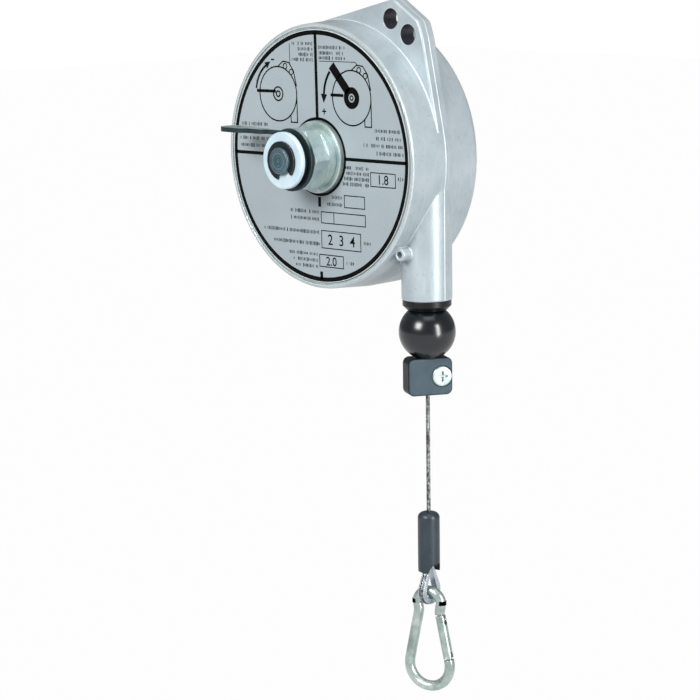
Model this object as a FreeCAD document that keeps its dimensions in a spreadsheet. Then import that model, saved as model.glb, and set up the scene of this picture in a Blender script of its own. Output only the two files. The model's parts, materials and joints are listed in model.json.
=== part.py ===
import FreeCAD, Part
import math
import os
import Sketcher

# Tool balancer: a spring drum in a round casting pays out a steel cable that ends in a spring hook.
# Every body is drawn about the drum's axle: X to the right, Y from the front cover to the rear wall, Z up.
# Its placement then moves it so that the suspension hole's centre is the origin of the whole object.

V = FreeCAD.Vector
doc = FreeCAD.newDocument("ToolBalancer")
sheet = doc.addObject("Spreadsheet::Sheet", "Sizes")


class Dim:
    """A size with its expression text, so that sums of sizes stay bound to the sheet."""

    def __init__(self, text, value):
        self.text = text
        self.value = value

    def join(self, sign, other, value):
        return Dim(f"({self.text} {sign} {as_dim(other).text})", value)

    def __add__(self, other):
        return self.join("+", other, self.value + as_dim(other).value)

    def __sub__(self, other):
        return self.join("-", other, self.value - as_dim(other).value)

    def __mul__(self, other):
        return self.join("*", other, self.value * as_dim(other).value)

    def __truediv__(self, other):
        return self.join("/", other, self.value / as_dim(other).value)

    def __radd__(self, other):
        return as_dim(other) + self

    def __rsub__(self, other):
        return as_dim(other) - self

    def __rmul__(self, other):
        return as_dim(other) * self

    def __rtruediv__(self, other):
        return as_dim(other) / self

    def __neg__(self):
        return as_dim(0) - self


def as_dim(thing):
    return thing if isinstance(thing, Dim) else Dim(repr(float(thing)), float(thing))


def cosine(angle):
    return Dim(f"cos({angle.text} * 1deg)", math.cos(math.radians(angle.value)))


def sine(angle):
    return Dim(f"sin({angle.text} * 1deg)", math.sin(math.radians(angle.value)))


def root(dim):
    return Dim(f"sqrt({dim.text})", math.sqrt(dim.value))


class Sizes:
    """Every size of the part: millimetres, degrees and counts. Each becomes a row of the sheet."""

    # Casting
    casingRadius = 75  # outer radius of the round casting, at the parting line
    frontDraft = 1.5  # how far the casting narrows from there to the rim
    rearDraft = 0.5  # and to the rear face
    casingDepth = 51.4  # front rim to rear face
    casingWall = 5  # round wall
    rearWall = 3.5  # rear wall
    rimWall = 3.4  # from that outer radius to the cover's edge
    lugFront = 19  # front face of the hanging lug, from the rim
    lugThickness = 10  # hanging lug
    lugMargin = 10.2  # from a hanging hole's centre to the lug's top edge
    lugCorner = 6  # rounding of the lug's corners
    lugLean = 4.18  # how far the lug's top runs past the suspension hole
    lugShoulder = 2.75  # how far the lug's top runs past the safety hole
    lugOverlap = 20  # the lug runs on inside the casting, degrees
    lugStart = 105  # where the lug leaves the casting on the left, degrees
    lugEnd = 12  # where the lug meets the casting on the right, degrees
    holeCircle = 85.3  # hanging holes' centres from the axle
    holeAngle = 63.2  # suspension hole, degrees
    safetyAngle = 52.8  # safety hole, degrees
    holeRadius = 5.5  # hanging holes
    neckRadius = 14  # outside of the cable neck
    neckBottom = 76.4  # neck's mouth below the axle
    neckBore = 9.5  # inside of the neck
    neckRoof = 12  # top of the neck's bore below the axle
    bossRadius = 3.6  # locking boss
    bossHole = 1.9  # locking boss's hole
    bossHoleDepth = 9.5  # depth of that hole
    bossProud = 1.806  # locking boss's centre off the round casting
    bossAngle = -40.617  # locking boss, degrees
    bossFront = 4  # front of the locking boss, from the rim
    rearRound = 5  # rounding of the casting's rear edge
    rimRound = 0.6  # rounding of the rim
    lugRound = 1.2  # rounding along the lug's edges
    mouthRound = 0.8  # rounding of the neck's and boss's mouths
    notchAngle = 24  # prying notch in the rim, degrees
    notchLength = 9.5  # prying notch
    notchDepth = 1.2  # prying notch into the rim
    notchDrop = 2.2  # prying notch from the front

    # Cover, its ring and the label
    coverThickness = 3  # cover plate
    coverSink = 0.3  # cover's face behind the rim, the label's thickness
    coverGap = 0.2  # around the cover
    ringWidth = 1.8  # retaining ring across
    ringThickness = 1.5  # retaining ring front to rear
    ringBite = 0.7  # how far the ring sits in the rim's groove
    ringSink = 0.3  # the ring's face behind the cover's
    grooveGap = 0.1  # around the ring in the rim's groove
    studGap = 0.1  # around the axle's threaded end
    ringGap = 10  # open ends of the retaining ring
    labelGap = 0.3  # between the label and the retaining ring
    coverBossRadius = 21  # boss behind the cover
    coverBossDepth = 6.5  # that boss, behind the plate

    # Axle and adjuster
    axleRadius = 7.4  # fixed axle
    axleEnd = 30.6  # front end of the axle, ahead of the rim
    studRadius = 5  # axle's threaded end in the rear wall
    studLength = 9.5  # threaded end behind the rear wall's inner face
    runningGap = 0.05  # radial clearance of the running fits
    faceGap = 0.15  # clearance between faces that turn past each other
    arborRadius = 13  # hub's tube, the spring's arbor
    hexFlats = 32  # hexagon across flats
    hexFront = 19.3  # hexagon's front face, ahead of the rim
    hubCollar = 17.4  # round collar behind the hexagon
    hubCollarLength = 5.2  # that collar, front to rear
    collarRadius = 20.1  # front bush's flange
    collarFront = 3  # front bush's flange, ahead of the rim
    bushWall = 3.4  # front bush around the arbor
    pinCircle = 18.8  # bush pin's centre from the axle
    pinAngle = -80.7  # bush pin, degrees
    pinRadius = 1.2  # bush pin
    leverThickness = 2.6  # room for the lever's ring
    leverRing = 17.3  # outside of the lever's ring
    leverReach = 54.4  # thumb pad's tip from the axle
    leverPlate = 2.6  # lever's plate
    leverHeight = 14.4  # lever's plate above the axle, its middle
    leverWidth = 7  # lever's arm, front to rear
    leverClear = 1.5  # arm's narrow part beyond the hexagon's corners
    armRoot = 3.46  # where the arm starts, left of the axle
    padCorner = 5.98  # rounding of the pad's end
    padWidth = 13  # thumb pad, front to rear
    padLength = 22  # thumb pad
    frictionThickness = 2.6  # dark spring washer
    frictionRadius = 14.4  # dark spring washer
    frictionCone = 0.9  # how far the washer's inner edge stands off the lever
    frictionRim = 1.5  # the washer's rim
    endWasherRadius = 15.7  # bright end washer
    endWasherThickness = 3  # bright end washer
    circlipRadius = 10.7  # circlip's outside
    circlipMouthRight = 45  # circlip's opening to the right of straight down, degrees
    circlipMouthLeft = 14  # and to the left
    circlipThickness = 1.2  # circlip
    circlipGroove = 0.6  # depth of the circlip's groove
    circlipGap = 0.05  # beside the circlip in its groove
    axleChamfer = 0.6  # front edge of the axle
    edgeChamfer = 0.5  # edges of the flange and of the end washer
    wrapWire = 1.6  # wrap spring's wire
    wrapTurns = 6  # wrap spring
    wrapPitch = 1.75  # wrap spring
    wrapGap = 0.05  # between the wrap spring and the axle
    wrapRoom = 0.9  # around the wrap spring in the hub
    wrapEndShare = 0.97  # the coil's rounded end and tang against its wire
    hexChamfer = 0.6  # share of the hexagon's corners that is turned off in front
    tangReach = 14.4  # wrap spring's end in the lever's notch, from the axle
    tangGap = 0.2  # around that end in the notch
    nutFlats = 17  # axle nut across flats
    nutThickness = 4  # axle nut
    nutWasherRadius = 10.5  # axle washer
    nutWasherThickness = 1.5  # axle washer
    shoulderRadius = 12  # axle's shoulder inside the rear wall
    shoulderDepth = 3  # axle's shoulder

    # Drum and springs
    cableRadius = 1.175  # steel cable
    neckInset = 10.5  # neck's axis, where the cable leaves the drum, from the casting's inside
    drumFrontGap = 2.2  # from the boss behind the cover to the drum
    pinProud = 0.5  # bush pin ahead of the flange
    drumRearGap = 4.2  # from the drum to the rear wall
    flangeGap = 5.5  # from the drum's flanges to the casting
    flangeThickness = 2.6  # drum's flanges
    drumWall = 3.6  # drum's wall under the cable
    webThickness = 3  # drum's rear web
    drumHub = 14  # drum's hub
    drumBushRadius = 10.4  # outside of the drum's bush
    springCoverThickness = 1.6  # plate that closes the drum
    plateRim = 1.975  # that plate's rim outside the cable's root
    coverBushRadius = 17  # outside of that plate's bush
    coverBushRim = 1.2  # rim of that bush behind the plate
    rivetRadius = 1.2  # rivets
    rivetHead = 2.2  # rivet heads
    rivetHeadThickness = 0.9  # rivet heads
    rivetHeadShare = 0.6  # rivet head's face against its foot
    rivetLength = 7  # rivets under the head
    rivetCount = 6  # rivets
    turnsOnDrum = 6  # turns of cable on the drum
    cableSpacing = 2.9  # spacing of the cable on the drum
    cableFlank = 0.3  # share of that spacing in which the cable rises or falls
    cableValley = 0.5875  # depth of the valleys between, above the drum
    stripThickness = 0.7  # mainspring's strip
    stripRear = 3.8  # strip ahead of the drum's web
    stripTurns = 11  # mainspring
    stripStart = 0.5  # first turn off the arbor
    stripEnd = 1.6  # last turn off the spring's pin
    tabDepth = 2.6  # spring's inner end in the arbor's slot, from the bore
    stripFront = 1.9  # strip behind the plate
    springSlot = 1.3  # arbor's slot for the spring's inner end
    slotDepth = 2  # bottom of that slot, from the bore
    anchorRadius = 1.5  # pin that holds the spring's outer end
    anchorWall = 0.6  # drum metal outside the spring's pin
    cableAnchorRadius = 1.7  # plug that holds the cable's end in the drum's wall
    cableAnchorSink = 0.1  # plug under the cable

    # Cable end
    bushFlangeRadius = 13.5  # neck bush's visible rim
    bushDrop = 5.6  # neck bush below the neck
    bushSpigot = 10  # neck bush inside the neck
    seatRadius = 10.9  # mouth of the ball's seat
    seatDepth = 4.4  # depth of that seat
    bushChamfer = 2.4  # edge of the bush's rim
    cableGuide = 2.2  # cable's hole in the neck bush
    ballRadius = 15.75  # rubber stop ball
    ballDrop = 94.5  # ball's centre below the axle
    ballFlat = 13.1  # ball's flat bottom below its centre
    ballKnot = 8  # where the upper cable ends in the ball, above its centre
    windingClear = 0.5  # between the winding and the top of the straight cable
    cableGap = 0.12  # around the cable in the pieces that it passes
    clampTop = 108.6  # clamp's top below the axle
    clampHeight = 20.9  # clamp
    clampWidth = 25.4  # clamp
    clampHalf = 6  # thickness of one clamp half
    clampCorner = 3.5  # clamp's corners
    clampEdge = 1.2  # rounding around the clamp's faces
    clampYaw = 62  # clamp's face, degrees from straight ahead
    collarSmall = 6.5  # collar under the ball
    screwOffset = 6.6  # clamp screw from the cable
    screwHead = 5.7  # clamp screw's head radius
    screwShank = 2.4  # clamp screw's shank radius
    screwHeadThickness = 2.4  # clamp screw's head
    screwRecess = 1.9  # recess of the head in the clamp
    screwGap = 0.1  # around the screw's shank
    headGap = 0.4  # around the screw's head
    headRound = 0.9  # rounding of the screw's head
    crossLong = 2.85  # half length of the screw's cross
    crossHalf = 0.57  # half width of the screw's cross
    crossDepth = 1.4  # depth of the screw's cross
    clampNutFlats = 8  # clamp nut across flats
    clampNutTurn = 30  # turn of the nut, degrees
    clampNutThickness = 3.2  # clamp nut
    sleeveRadius = 6.15  # black sleeve
    sleeveTop = 196.3  # sleeve's top below the axle
    sleeveBottom = 230.4  # sleeve's bottom below the axle
    sleeveRound = 3.4  # rounding of the sleeve's top
    sleeveWall = 1.5  # sleeve's wall
    sleeveEdge = 0.6  # rounding of the sleeve's bottom
    ferruleGap = 0.1  # over the ferrule in the sleeve
    sleeveArch = 4.6  # half width of the cut-out at the sleeve's bottom
    sleeveArchRise = 5.3  # height of that cut-out
    ferruleLength = 15  # ferrule in the sleeve
    ferruleRadius = 4  # ferrule
    eyeRadius = 4.6  # inside of the thimble's round end
    eyeBottom = 246.2  # lowest inside point of the thimble below the axle
    thimbleWall = 1  # thimble's metal
    thimbleThickness = 4  # thimble across its channel
    thimbleFlange = 2.88  # thimble's flanges, from its inside
    channelGap = 0.3  # beside the cable in the thimble's channel
    eyeCableGap = 0.02  # under the cable in that channel
    eyeCableEnd = 0.93  # how far up its sides the cable runs towards their meeting point, as a share
    thimbleTop = 226.5  # thimble's point below the axle
    thimbleYaw = 5  # thimble's hole axis, degrees from X

    # Spring hook
    hookWire = 5.8  # hook's wire
    hookLength = 61  # hook, top to bottom
    hookLift = 1.5  # hook's bend above the thimble's round end
    hookTopRadius = 7.4  # centre line of the top bend
    hookBottomRadius = 12.4  # centre line of the bottom bend
    hipRise = 14.26  # where the bottom bend's sides start, above the lowest centre line
    hookSoftBend = 6  # bends at the waist
    hookHipBend = 9  # bends above the bottom
    bendShare = 0.99  # leaves a short straight run between two bends
    hookWaist = 6.4  # half spacing of the legs at the waist
    hookWaistDrop = 14.5  # waist below the hook's top
    hookYaw = 18  # hook's plane, degrees from X
    gateTop = 16.3  # gate's upper end below the hook's top
    gateHinge = 39.8  # gate's pin below the hook's top
    gatePinRadius = 0.9  # gate's pin
    gateGap = 0.3  # between gate and hook
    gateSwing = 1  # room for the gate's lower end as it swings
    noseTongue = 1.1  # half thickness of the nose's tongue
    tongueLength = 4.2  # length of the nose's tongue
    tongueWidth = 2.9  # nose's tongue in the hook's plane
    tongueHead = 1.4  # length of the head on that tongue
    tongueHeadWidth = 4.64  # that head in the hook's plane
    heelEye = 1.6  # tongue around the gate's pin
    heelWidth = 3.48  # heel's tongue in the hook's plane
    heelRoot = 0.3  # heel's tongue into the wire
    gateEnd = 0.6  # gate past its pin
    slotRoom = 1.2  # gate's upper slot past the nose's tongue
    heelSlot = 2.6  # gate's lower slot above its pin
    boreRest = 3.4  # gate without a bore, beside the tongue's length
    springRest = 5.2  # gate without its spring, beside the tongue's length
    springTop = 1.8  # spring under the nose's tongue
    gateWire = 0.5  # gate spring's wire
    gatePitch = 1.2  # gate spring
    gateCoilGap = 0.55  # gate spring's line inside the bore
    pinShare = 0.94  # gate pin's length against the wire
    gateBore = 1.7  # inside of the gate for its spring


def fill_sheet():
    """Puts every size in the sheet under its own alias, and keeps it as a Dim."""
    named = [name for name in vars(Sizes) if not name.startswith("_")]
    for row, alias in enumerate(named, 1):
        number = getattr(Sizes, alias)
        sheet.set(f"A{row}", alias)
        sheet.set(f"B{row}", str(number))
        sheet.setAlias(f"B{row}", alias)
        setattr(Sizes, alias, Dim(f"Sizes.{alias}", float(number)))


fill_sheet()
d = Sizes
axleToHoleX = d.holeCircle * cosine(d.holeAngle)
axleToHoleZ = d.holeCircle * sine(d.holeAngle)
lugMiddle = d.lugFront + d.lugThickness / 2
parts = []


def tie(thing, prop, dim):
    """Binds a property to its expression, or sets it where it is a plain number."""
    if isinstance(dim, Dim):
        thing.setExpression(prop, dim.text)
    else:
        thing.setExpression(prop, repr(float(dim)))


def locate(thing, label, x=0, y=0, z=0, yaw=None):
    """Names a finished sub-part and moves it from the axle's frame to the object's."""
    thing.Label = label
    if yaw is not None:
        thing.Placement = FreeCAD.Placement(V(), FreeCAD.Rotation(V(0, 0, 1), yaw.value))
        tie(thing, "Placement.Rotation.Angle", yaw)
    tie(thing, "Placement.Base.x", x - axleToHoleX)
    tie(thing, "Placement.Base.y", y - lugMiddle)
    tie(thing, "Placement.Base.z", z - axleToHoleZ)
    parts.append(thing)
    return thing


def set_shape(label, shape, x=0, y=0, z=0, yaw=None):
    """A sub-part whose shape is worked out in code from the same sizes."""
    thing = doc.addObject("Part::Feature", label)
    thing.Shape = shape
    return locate(thing, label, x, y, z, yaw)


def plane_of(body, role):
    return next(f for f in body.Origin.OriginFeatures if f.Role == role)


def new_body(label):
    return doc.addObject("PartDesign::Body", label)


def new_sketch(body, role, offset=0):
    """A sketch on one of the body's own planes, moved along its normal by offset."""
    sketch = body.newObject("Sketcher::SketchObject", body.Name + "Sketch")
    sketch.AttachmentSupport = [(plane_of(body, role), "")]
    sketch.MapMode = "FlatFace"
    tie(sketch, "AttachmentOffset.Base.z", offset)
    return sketch


def pin_point(sketch, item, end, x, y):
    """Fixes a point of the sketch at x, y from its origin."""
    for kind, axis, dim in (("DistanceX", -2, x), ("DistanceY", -1, y)):
        if not isinstance(dim, Dim) and dim == 0:
            sketch.addConstraint(Sketcher.Constraint("PointOnObject", item, end, axis))
        else:
            number = sketch.addConstraint(Sketcher.Constraint(kind, -1, 1, item, end, as_dim(dim).value))
            tie(sketch, f"Constraints[{number}]", as_dim(dim))


def outline(sketch, points):
    """A closed outline of straight edges through points given as sizes."""
    first = len(sketch.Geometry)
    count = len(points)
    for i in range(count):
        ends = [V(as_dim(x).value, as_dim(y).value, 0) for x, y in (points[i], points[(i + 1) % count])]
        sketch.addGeometry(Part.LineSegment(*ends), False)
    for i in range(count):
        sketch.addConstraint(Sketcher.Constraint("Coincident", first + i, 2, first + (i + 1) % count, 1))
    for i, (x, y) in enumerate(points):
        pin_point(sketch, first + i, 1, x, y)


def circle(sketch, x, y, radius):
    place = V(as_dim(x).value, as_dim(y).value, 0)
    item = sketch.addGeometry(Part.Circle(place, V(0, 0, 1), radius.value), False)
    number = sketch.addConstraint(Sketcher.Constraint("Radius", item, radius.value))
    tie(sketch, f"Constraints[{number}]", radius)
    pin_point(sketch, item, 3, x, y)


def feature(body, kind, sketch, **settings):
    thing = body.newObject("PartDesign::" + kind, body.Name + kind)
    thing.Profile = sketch
    for prop, setting in settings.items():
        if isinstance(setting, Dim):
            tie(thing, prop, setting)
        else:
            setattr(thing, prop, setting)
    doc.recompute()
    return thing


def spun(body, points, kind="Revolution", role="XY_Plane"):
    """Turns or grooves a profile of (radius, place along the axis) about Y, or about Z on the XZ plane."""
    sketch = new_sketch(body, role)
    outline(sketch, points)
    return feature(body, kind, sketch, ReferenceAxis=(sketch, ["V_Axis"]), Angle=360)


def pipe_profile(outer, inner, low, high):
    return [(inner, low), (outer, low), (outer, high), (inner, high)]


def turned(label, points, role="XY_Plane"):
    body = new_body(label)
    spun(body, points, role=role)
    return body


def pad_along_y(body, draw, low, high):
    """Pads what draw puts in a sketch, from low to high along Y."""
    sketch = new_sketch(body, "XZ_Plane", -as_dim(high))
    draw(sketch)
    return feature(body, "Pad", sketch, Length=as_dim(high) - low)


def cut_along_y(body, draw, low, high):
    """Cuts what draw puts in a sketch, from low to high along Y."""
    sketch = new_sketch(body, "XZ_Plane", -as_dim(low))
    draw(sketch)
    return feature(body, "Pocket", sketch, Length=as_dim(high) - low)


def pad_along_z(body, draw, low, high):
    sketch = new_sketch(body, "XY_Plane", low)
    draw(sketch)
    return feature(body, "Pad", sketch, Length=as_dim(high) - low)


def cut_along_z(body, draw, low, high):
    sketch = new_sketch(body, "XY_Plane", high)
    draw(sketch)
    return feature(body, "Pocket", sketch, Length=as_dim(high) - low)


def edges_where(shape, test):
    return [f"Edge{i + 1}" for i, edge in enumerate(shape.Edges) if test(edge)]


def round_edges(body, test, radius, kind="Fillet"):
    """Rounds or chamfers the tip's edges that pass the test."""
    base = body.Tip
    thing = body.newObject("PartDesign::" + kind, body.Name + kind)
    thing.Base = (base, edges_where(base.Shape, test))
    tie(thing, "Radius" if kind == "Fillet" else "Size", radius)
    doc.recompute()
    return thing


def on_circle(radius, angle):
    return radius * cosine(angle), radius * sine(angle)


def hexagon(sketch, flats, x=0, z=0, turn=0):
    """A hexagon about x, z with a corner at the angle turn."""
    points = []
    for k in range(6):
        cornerX, cornerZ = on_circle(flats / math.sqrt(3), as_dim(60 * k + turn))
        points.append((x + cornerX, z + cornerZ))
    outline(sketch, points)


def ring_of(body, original, count):
    """Repeats a cut round the axle."""
    pattern = body.newObject("PartDesign::PolarPattern", body.Name + "Pattern")
    pattern.Originals = [original]
    pattern.Axis = (plane_of(body, "Y_Axis"), [""])
    pattern.Angle = 360
    tie(pattern, "Occurrences", count)
    body.Tip = pattern
    doc.recompute()


# Casting: pot, lug, neck and locking boss, hollowed from the front
rimInside = d.casingRadius - d.rimWall
hollow = d.casingRadius - d.casingWall
coverBack = d.coverSink + d.coverThickness
rearInside = d.casingDepth - d.rearWall
neckOffset = hollow - d.neckInset
bossX, bossZ = on_circle(d.casingRadius + d.bossProud, d.bossAngle)
ringOuter = rimInside + d.ringBite
ringInner = ringOuter - d.ringWidth
labelRadius = ringInner - d.labelGap
ringFront = d.coverSink + d.ringSink
ringRear = ringFront + d.ringThickness
holeX, holeZ = on_circle(d.holeCircle, d.holeAngle)
safetyX, safetyZ = on_circle(d.holeCircle, d.safetyAngle)
betweenHoles = root((safetyX - holeX) * (safetyX - holeX) + (safetyZ - holeZ) * (safetyZ - holeZ))
alongX = (safetyX - holeX) / betweenHoles
alongZ = (safetyZ - holeZ) / betweenHoles


def off_hole(x, z, along, out):
    """A point off a hanging hole: along the line of holes and out from it."""
    return x + along * alongX - out * alongZ, z + along * alongZ + out * alongX


lugRear = d.lugFront + d.lugThickness


def lug_outline(sketch):
    outline(sketch, [
        on_circle(d.casingRadius, d.lugStart),
        off_hole(holeX, holeZ, -d.lugLean, d.lugMargin),
        off_hole(safetyX, safetyZ, d.lugShoulder, d.lugMargin),
        off_hole(safetyX, safetyZ, d.lugMargin, d.lugLean),
        on_circle(d.casingRadius, d.lugEnd),
        on_circle(hollow, d.lugEnd + d.lugOverlap),
        on_circle(hollow, d.lugStart - d.lugOverlap),
    ])


def notch_outline(sketch):
    radius = (d.notchLength * d.notchLength / 4 + d.notchDepth * d.notchDepth) / (2 * d.notchDepth)
    x, z = on_circle(rimInside + d.notchDepth - radius, d.notchAngle)
    circle(sketch, x, z, radius)


casing = new_body("casing")
pad_along_y(casing, lug_outline, d.lugFront, lugRear)


def is_lug_corner(edge):
    box = edge.BoundBox
    flat = box.XLength < 0.01 and box.ZLength < 0.01
    far = math.hypot(box.XMin, box.ZMin) > d.casingRadius.value + d.lugCorner.value
    return flat and far and abs(box.YLength - d.lugThickness.value) < 0.01


round_edges(casing, is_lug_corner, d.lugCorner)


def is_lug_rim(edge):
    """The lug's outline on its two faces, without what lies inside the round wall."""
    box = edge.BoundBox
    faceGap = min(abs(box.YMin - d.lugFront.value), abs(box.YMin - lugRear.value))
    onFace = box.YLength < 0.01 and faceGap < 0.01
    middle = edge.valueAt((edge.FirstParameter + edge.LastParameter) / 2)
    return onFace and math.hypot(middle.x, middle.z) > d.casingRadius.value


round_edges(casing, is_lug_rim, d.lugRound)
spun(casing, [(0, 0), (d.casingRadius - d.frontDraft, 0), (d.casingRadius, lugMiddle),
              (d.casingRadius - d.rearDraft, d.casingDepth), (0, d.casingDepth)])
pad_along_z(casing, lambda s: circle(s, neckOffset, lugMiddle, d.neckRadius), -d.neckBottom, 0)
pad_along_y(casing, lambda s: circle(s, bossX, bossZ, d.bossRadius), d.bossFront, lugMiddle)
spun(casing, [
    (0, 0), (rimInside, 0), (rimInside, ringFront - d.grooveGap),
    (ringOuter + d.coverGap, ringFront - d.grooveGap),
    (ringOuter + d.coverGap, ringRear + d.grooveGap), (rimInside, ringRear + d.grooveGap),
    (rimInside, coverBack),
    (hollow, coverBack), (hollow, rearInside), (d.studRadius + d.studGap, rearInside),
    (d.studRadius + d.studGap, d.casingDepth), (0, d.casingDepth)], kind="Groove")
cut_along_z(casing, lambda s: circle(s, neckOffset, lugMiddle, d.neckBore), -d.neckBottom, -d.neckRoof)
cut_along_y(casing, lambda s: circle(s, holeX, holeZ, d.holeRadius), d.lugFront, lugRear)
cut_along_y(casing, lambda s: circle(s, safetyX, safetyZ, d.holeRadius), d.lugFront, lugRear)
cut_along_y(casing, lambda s: circle(s, bossX, bossZ, d.bossHole), d.bossFront,
            d.bossFront + d.bossHoleDepth)
cut_along_y(casing, notch_outline, 0, d.notchDrop)


def is_rear_edge(edge):
    box = edge.BoundBox
    return abs(box.YMin - d.casingDepth.value) < 0.01 and box.XLength > 2 * hollow.value


def is_rim_edge(edge):
    box = edge.BoundBox
    return abs(box.YMax) < 0.01 and box.YLength < 0.01 and box.XLength > 2 * rimInside.value + 1


def is_neck_mouth(edge):
    box = edge.BoundBox
    return abs(box.ZMax + d.neckBottom.value) < 0.01 and box.XLength > 2 * d.neckRadius.value - 1


def is_boss_mouth(edge):
    box = edge.BoundBox
    return abs(box.YMax - d.bossFront.value) < 0.01 and abs(box.XLength - 2 * d.bossRadius.value) < 0.01


round_edges(casing, is_rear_edge, d.rearRound)
round_edges(casing, is_rim_edge, d.rimRound)
round_edges(casing, is_neck_mouth, d.mouthRound)
round_edges(casing, is_boss_mouth, d.mouthRound)
locate(casing, "casing")

# Cover with its boss, the split ring that holds it, and the label
bushOuter = d.arborRadius + d.bushWall
bossBack = coverBack + d.coverBossDepth
cover = turned("front_cover", [
    (bushOuter, d.coverSink), (ringInner - d.coverGap, d.coverSink), (ringInner - d.coverGap, ringRear),
    (rimInside - d.coverGap, ringRear), (rimInside - d.coverGap, coverBack), (d.coverBossRadius, coverBack),
    (d.coverBossRadius, bossBack), (bushOuter, bossBack)])
pinX, pinZ = on_circle(d.pinCircle, d.pinAngle)
cut_along_y(cover, lambda s: circle(s, pinX, pinZ, d.pinRadius), d.coverSink, coverBack)
locate(cover, "front_cover")

ring = turned("cover_ring", pipe_profile(ringOuter, ringInner, ringFront, ringRear))
gapAngle = d.ringGap / rimInside * (180 / math.pi)
beyond = d.casingRadius * 2
cut_along_y(ring, lambda s: outline(s, [
    (0, 0), on_circle(beyond, d.notchAngle - gapAngle / 2), on_circle(beyond, d.notchAngle + gapAngle / 2)]),
    ringFront, ringRear)
locate(ring, "cover_ring")

label = turned("label", pipe_profile(labelRadius, d.collarRadius + d.coverGap, 0, d.coverSink))
locate(label, "label")

# Fixed axle with its nut behind the rear wall
washerFront = d.hexFront + d.leverThickness + d.frictionThickness + d.endWasherThickness
clipFront = washerFront + d.circlipThickness + d.circlipGap
clipSeat = d.axleRadius - d.circlipGroove
axle = turned("axle", [
    (0, -d.axleEnd), (d.axleRadius, -d.axleEnd), (d.axleRadius, -clipFront - d.circlipGap),
    (clipSeat, -clipFront - d.circlipGap), (clipSeat, -washerFront), (d.axleRadius, -washerFront),
    (d.axleRadius, rearInside - d.shoulderDepth), (d.shoulderRadius, rearInside - d.shoulderDepth),
    (d.shoulderRadius, rearInside), (d.studRadius, rearInside), (d.studRadius, rearInside + d.studLength),
    (0, rearInside + d.studLength)])
round_edges(axle, lambda e: abs(e.BoundBox.YMax + d.axleEnd.value) < 0.01, d.axleChamfer, "Chamfer")
locate(axle, "axle")

nutSeat = d.casingDepth + d.nutWasherThickness
nutWasherProfile = pipe_profile(d.nutWasherRadius, d.studRadius + 2 * d.studGap, d.casingDepth, nutSeat)
locate(turned("axle_washer", nutWasherProfile),
       "axle_washer")
nut = new_body("axle_nut")
pad_along_y(nut, lambda s: hexagon(s, d.nutFlats), nutSeat, nutSeat + d.nutThickness)
cut_along_y(nut, lambda s: circle(s, 0, 0, d.studRadius), nutSeat, nutSeat + d.nutThickness)
locate(nut, "axle_nut")

# Flanged bush in the cover, with the pin that keeps it from turning
arborFit = d.arborRadius + d.runningGap
bush = turned("front_bush", [
    (arborFit, -d.collarFront), (d.collarRadius, -d.collarFront), (d.collarRadius, d.coverSink),
    (bushOuter, d.coverSink), (bushOuter, bossBack), (arborFit, bossBack)])
round_edges(bush, lambda e: abs(e.BoundBox.YMax + d.collarFront.value) < 0.01
            and e.BoundBox.XLength > 2 * bushOuter.value, d.edgeChamfer, "Chamfer")
cut_along_y(bush, lambda s: circle(s, pinX, pinZ, d.pinRadius), -d.collarFront, d.coverSink)
locate(bush, "front_bush")
pin = new_body("bush_pin")
pad_along_y(pin, lambda s: circle(s, pinX, pinZ, d.pinRadius), -d.collarFront - d.pinProud, coverBack)
locate(pin, "bush_pin")

# Adjuster: hexagon, journal for the lever and the tube that the mainspring winds on
axleFit = d.axleRadius + d.runningGap
hexBack = d.collarFront + d.faceGap
journalFront = d.hexFront + d.leverThickness - d.faceGap
drumFront = coverBack + d.coverBossDepth + d.drumFrontGap
drumRear = rearInside - d.drumRearGap
arborEnd = drumRear - d.webThickness - d.faceGap
wrapRadius = axleFit + d.wrapWire / 2 + d.wrapGap
counterbore = wrapRadius + d.wrapWire / 2 + d.wrapRoom
wrapStart = d.hexFront + d.leverThickness / 2
counterDepth = wrapStart - d.wrapTurns * d.wrapPitch - d.wrapWire
hexCorner = d.hexFlats / math.sqrt(3)
chamferRun = (hexCorner - d.hexFlats / 2) * d.hexChamfer
hub = turned("adjuster_hub", pipe_profile(d.arborRadius, axleFit, -journalFront, arborEnd))
pad_along_y(hub, lambda s: hexagon(s, d.hexFlats), -d.hexFront, -hexBack)
spun(hub, [(d.hexFlats / 2, -d.hexFront), (hexCorner + 1, -d.hexFront),
           (hexCorner + 1, chamferRun - d.hexFront)], kind="Groove")
collarFace = -hexBack - d.hubCollarLength
spun(hub, pipe_profile(hexCorner + 1, d.hubCollar, collarFace, -hexBack), kind="Groove")
spun(hub, pipe_profile(d.hubCollar, axleFit, collarFace, -hexBack))
spun(hub, [(0, -journalFront), (counterbore, -journalFront), (counterbore, -counterDepth),
           (axleFit, -counterDepth), (axleFit, -hexBack), (0, -hexBack)], kind="Groove")
cut_along_y(hub, lambda s: circle(s, 0, 0, axleFit), -hexBack, arborEnd)
slotHalf = d.springSlot / 2
slotFront = drumFront + d.springCoverThickness
cut_along_y(hub, lambda s: outline(s, [
    (axleFit + d.slotDepth, -slotHalf), (d.arborRadius + 1, -slotHalf), (d.arborRadius + 1, slotHalf),
    (axleFit + d.slotDepth, slotHalf)]), slotFront, arborEnd)
tangHalf = d.wrapWire * 2
tangSlotBack = wrapStart - d.wrapWire / 2 - d.tangGap
cut_along_y(hub, lambda s: outline(s, [
    (0, 0), (-tangHalf, -d.arborRadius - 1), (tangHalf, -d.arborRadius - 1)]), -journalFront, -tangSlotBack)
locate(hub, "adjuster_hub")


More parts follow.
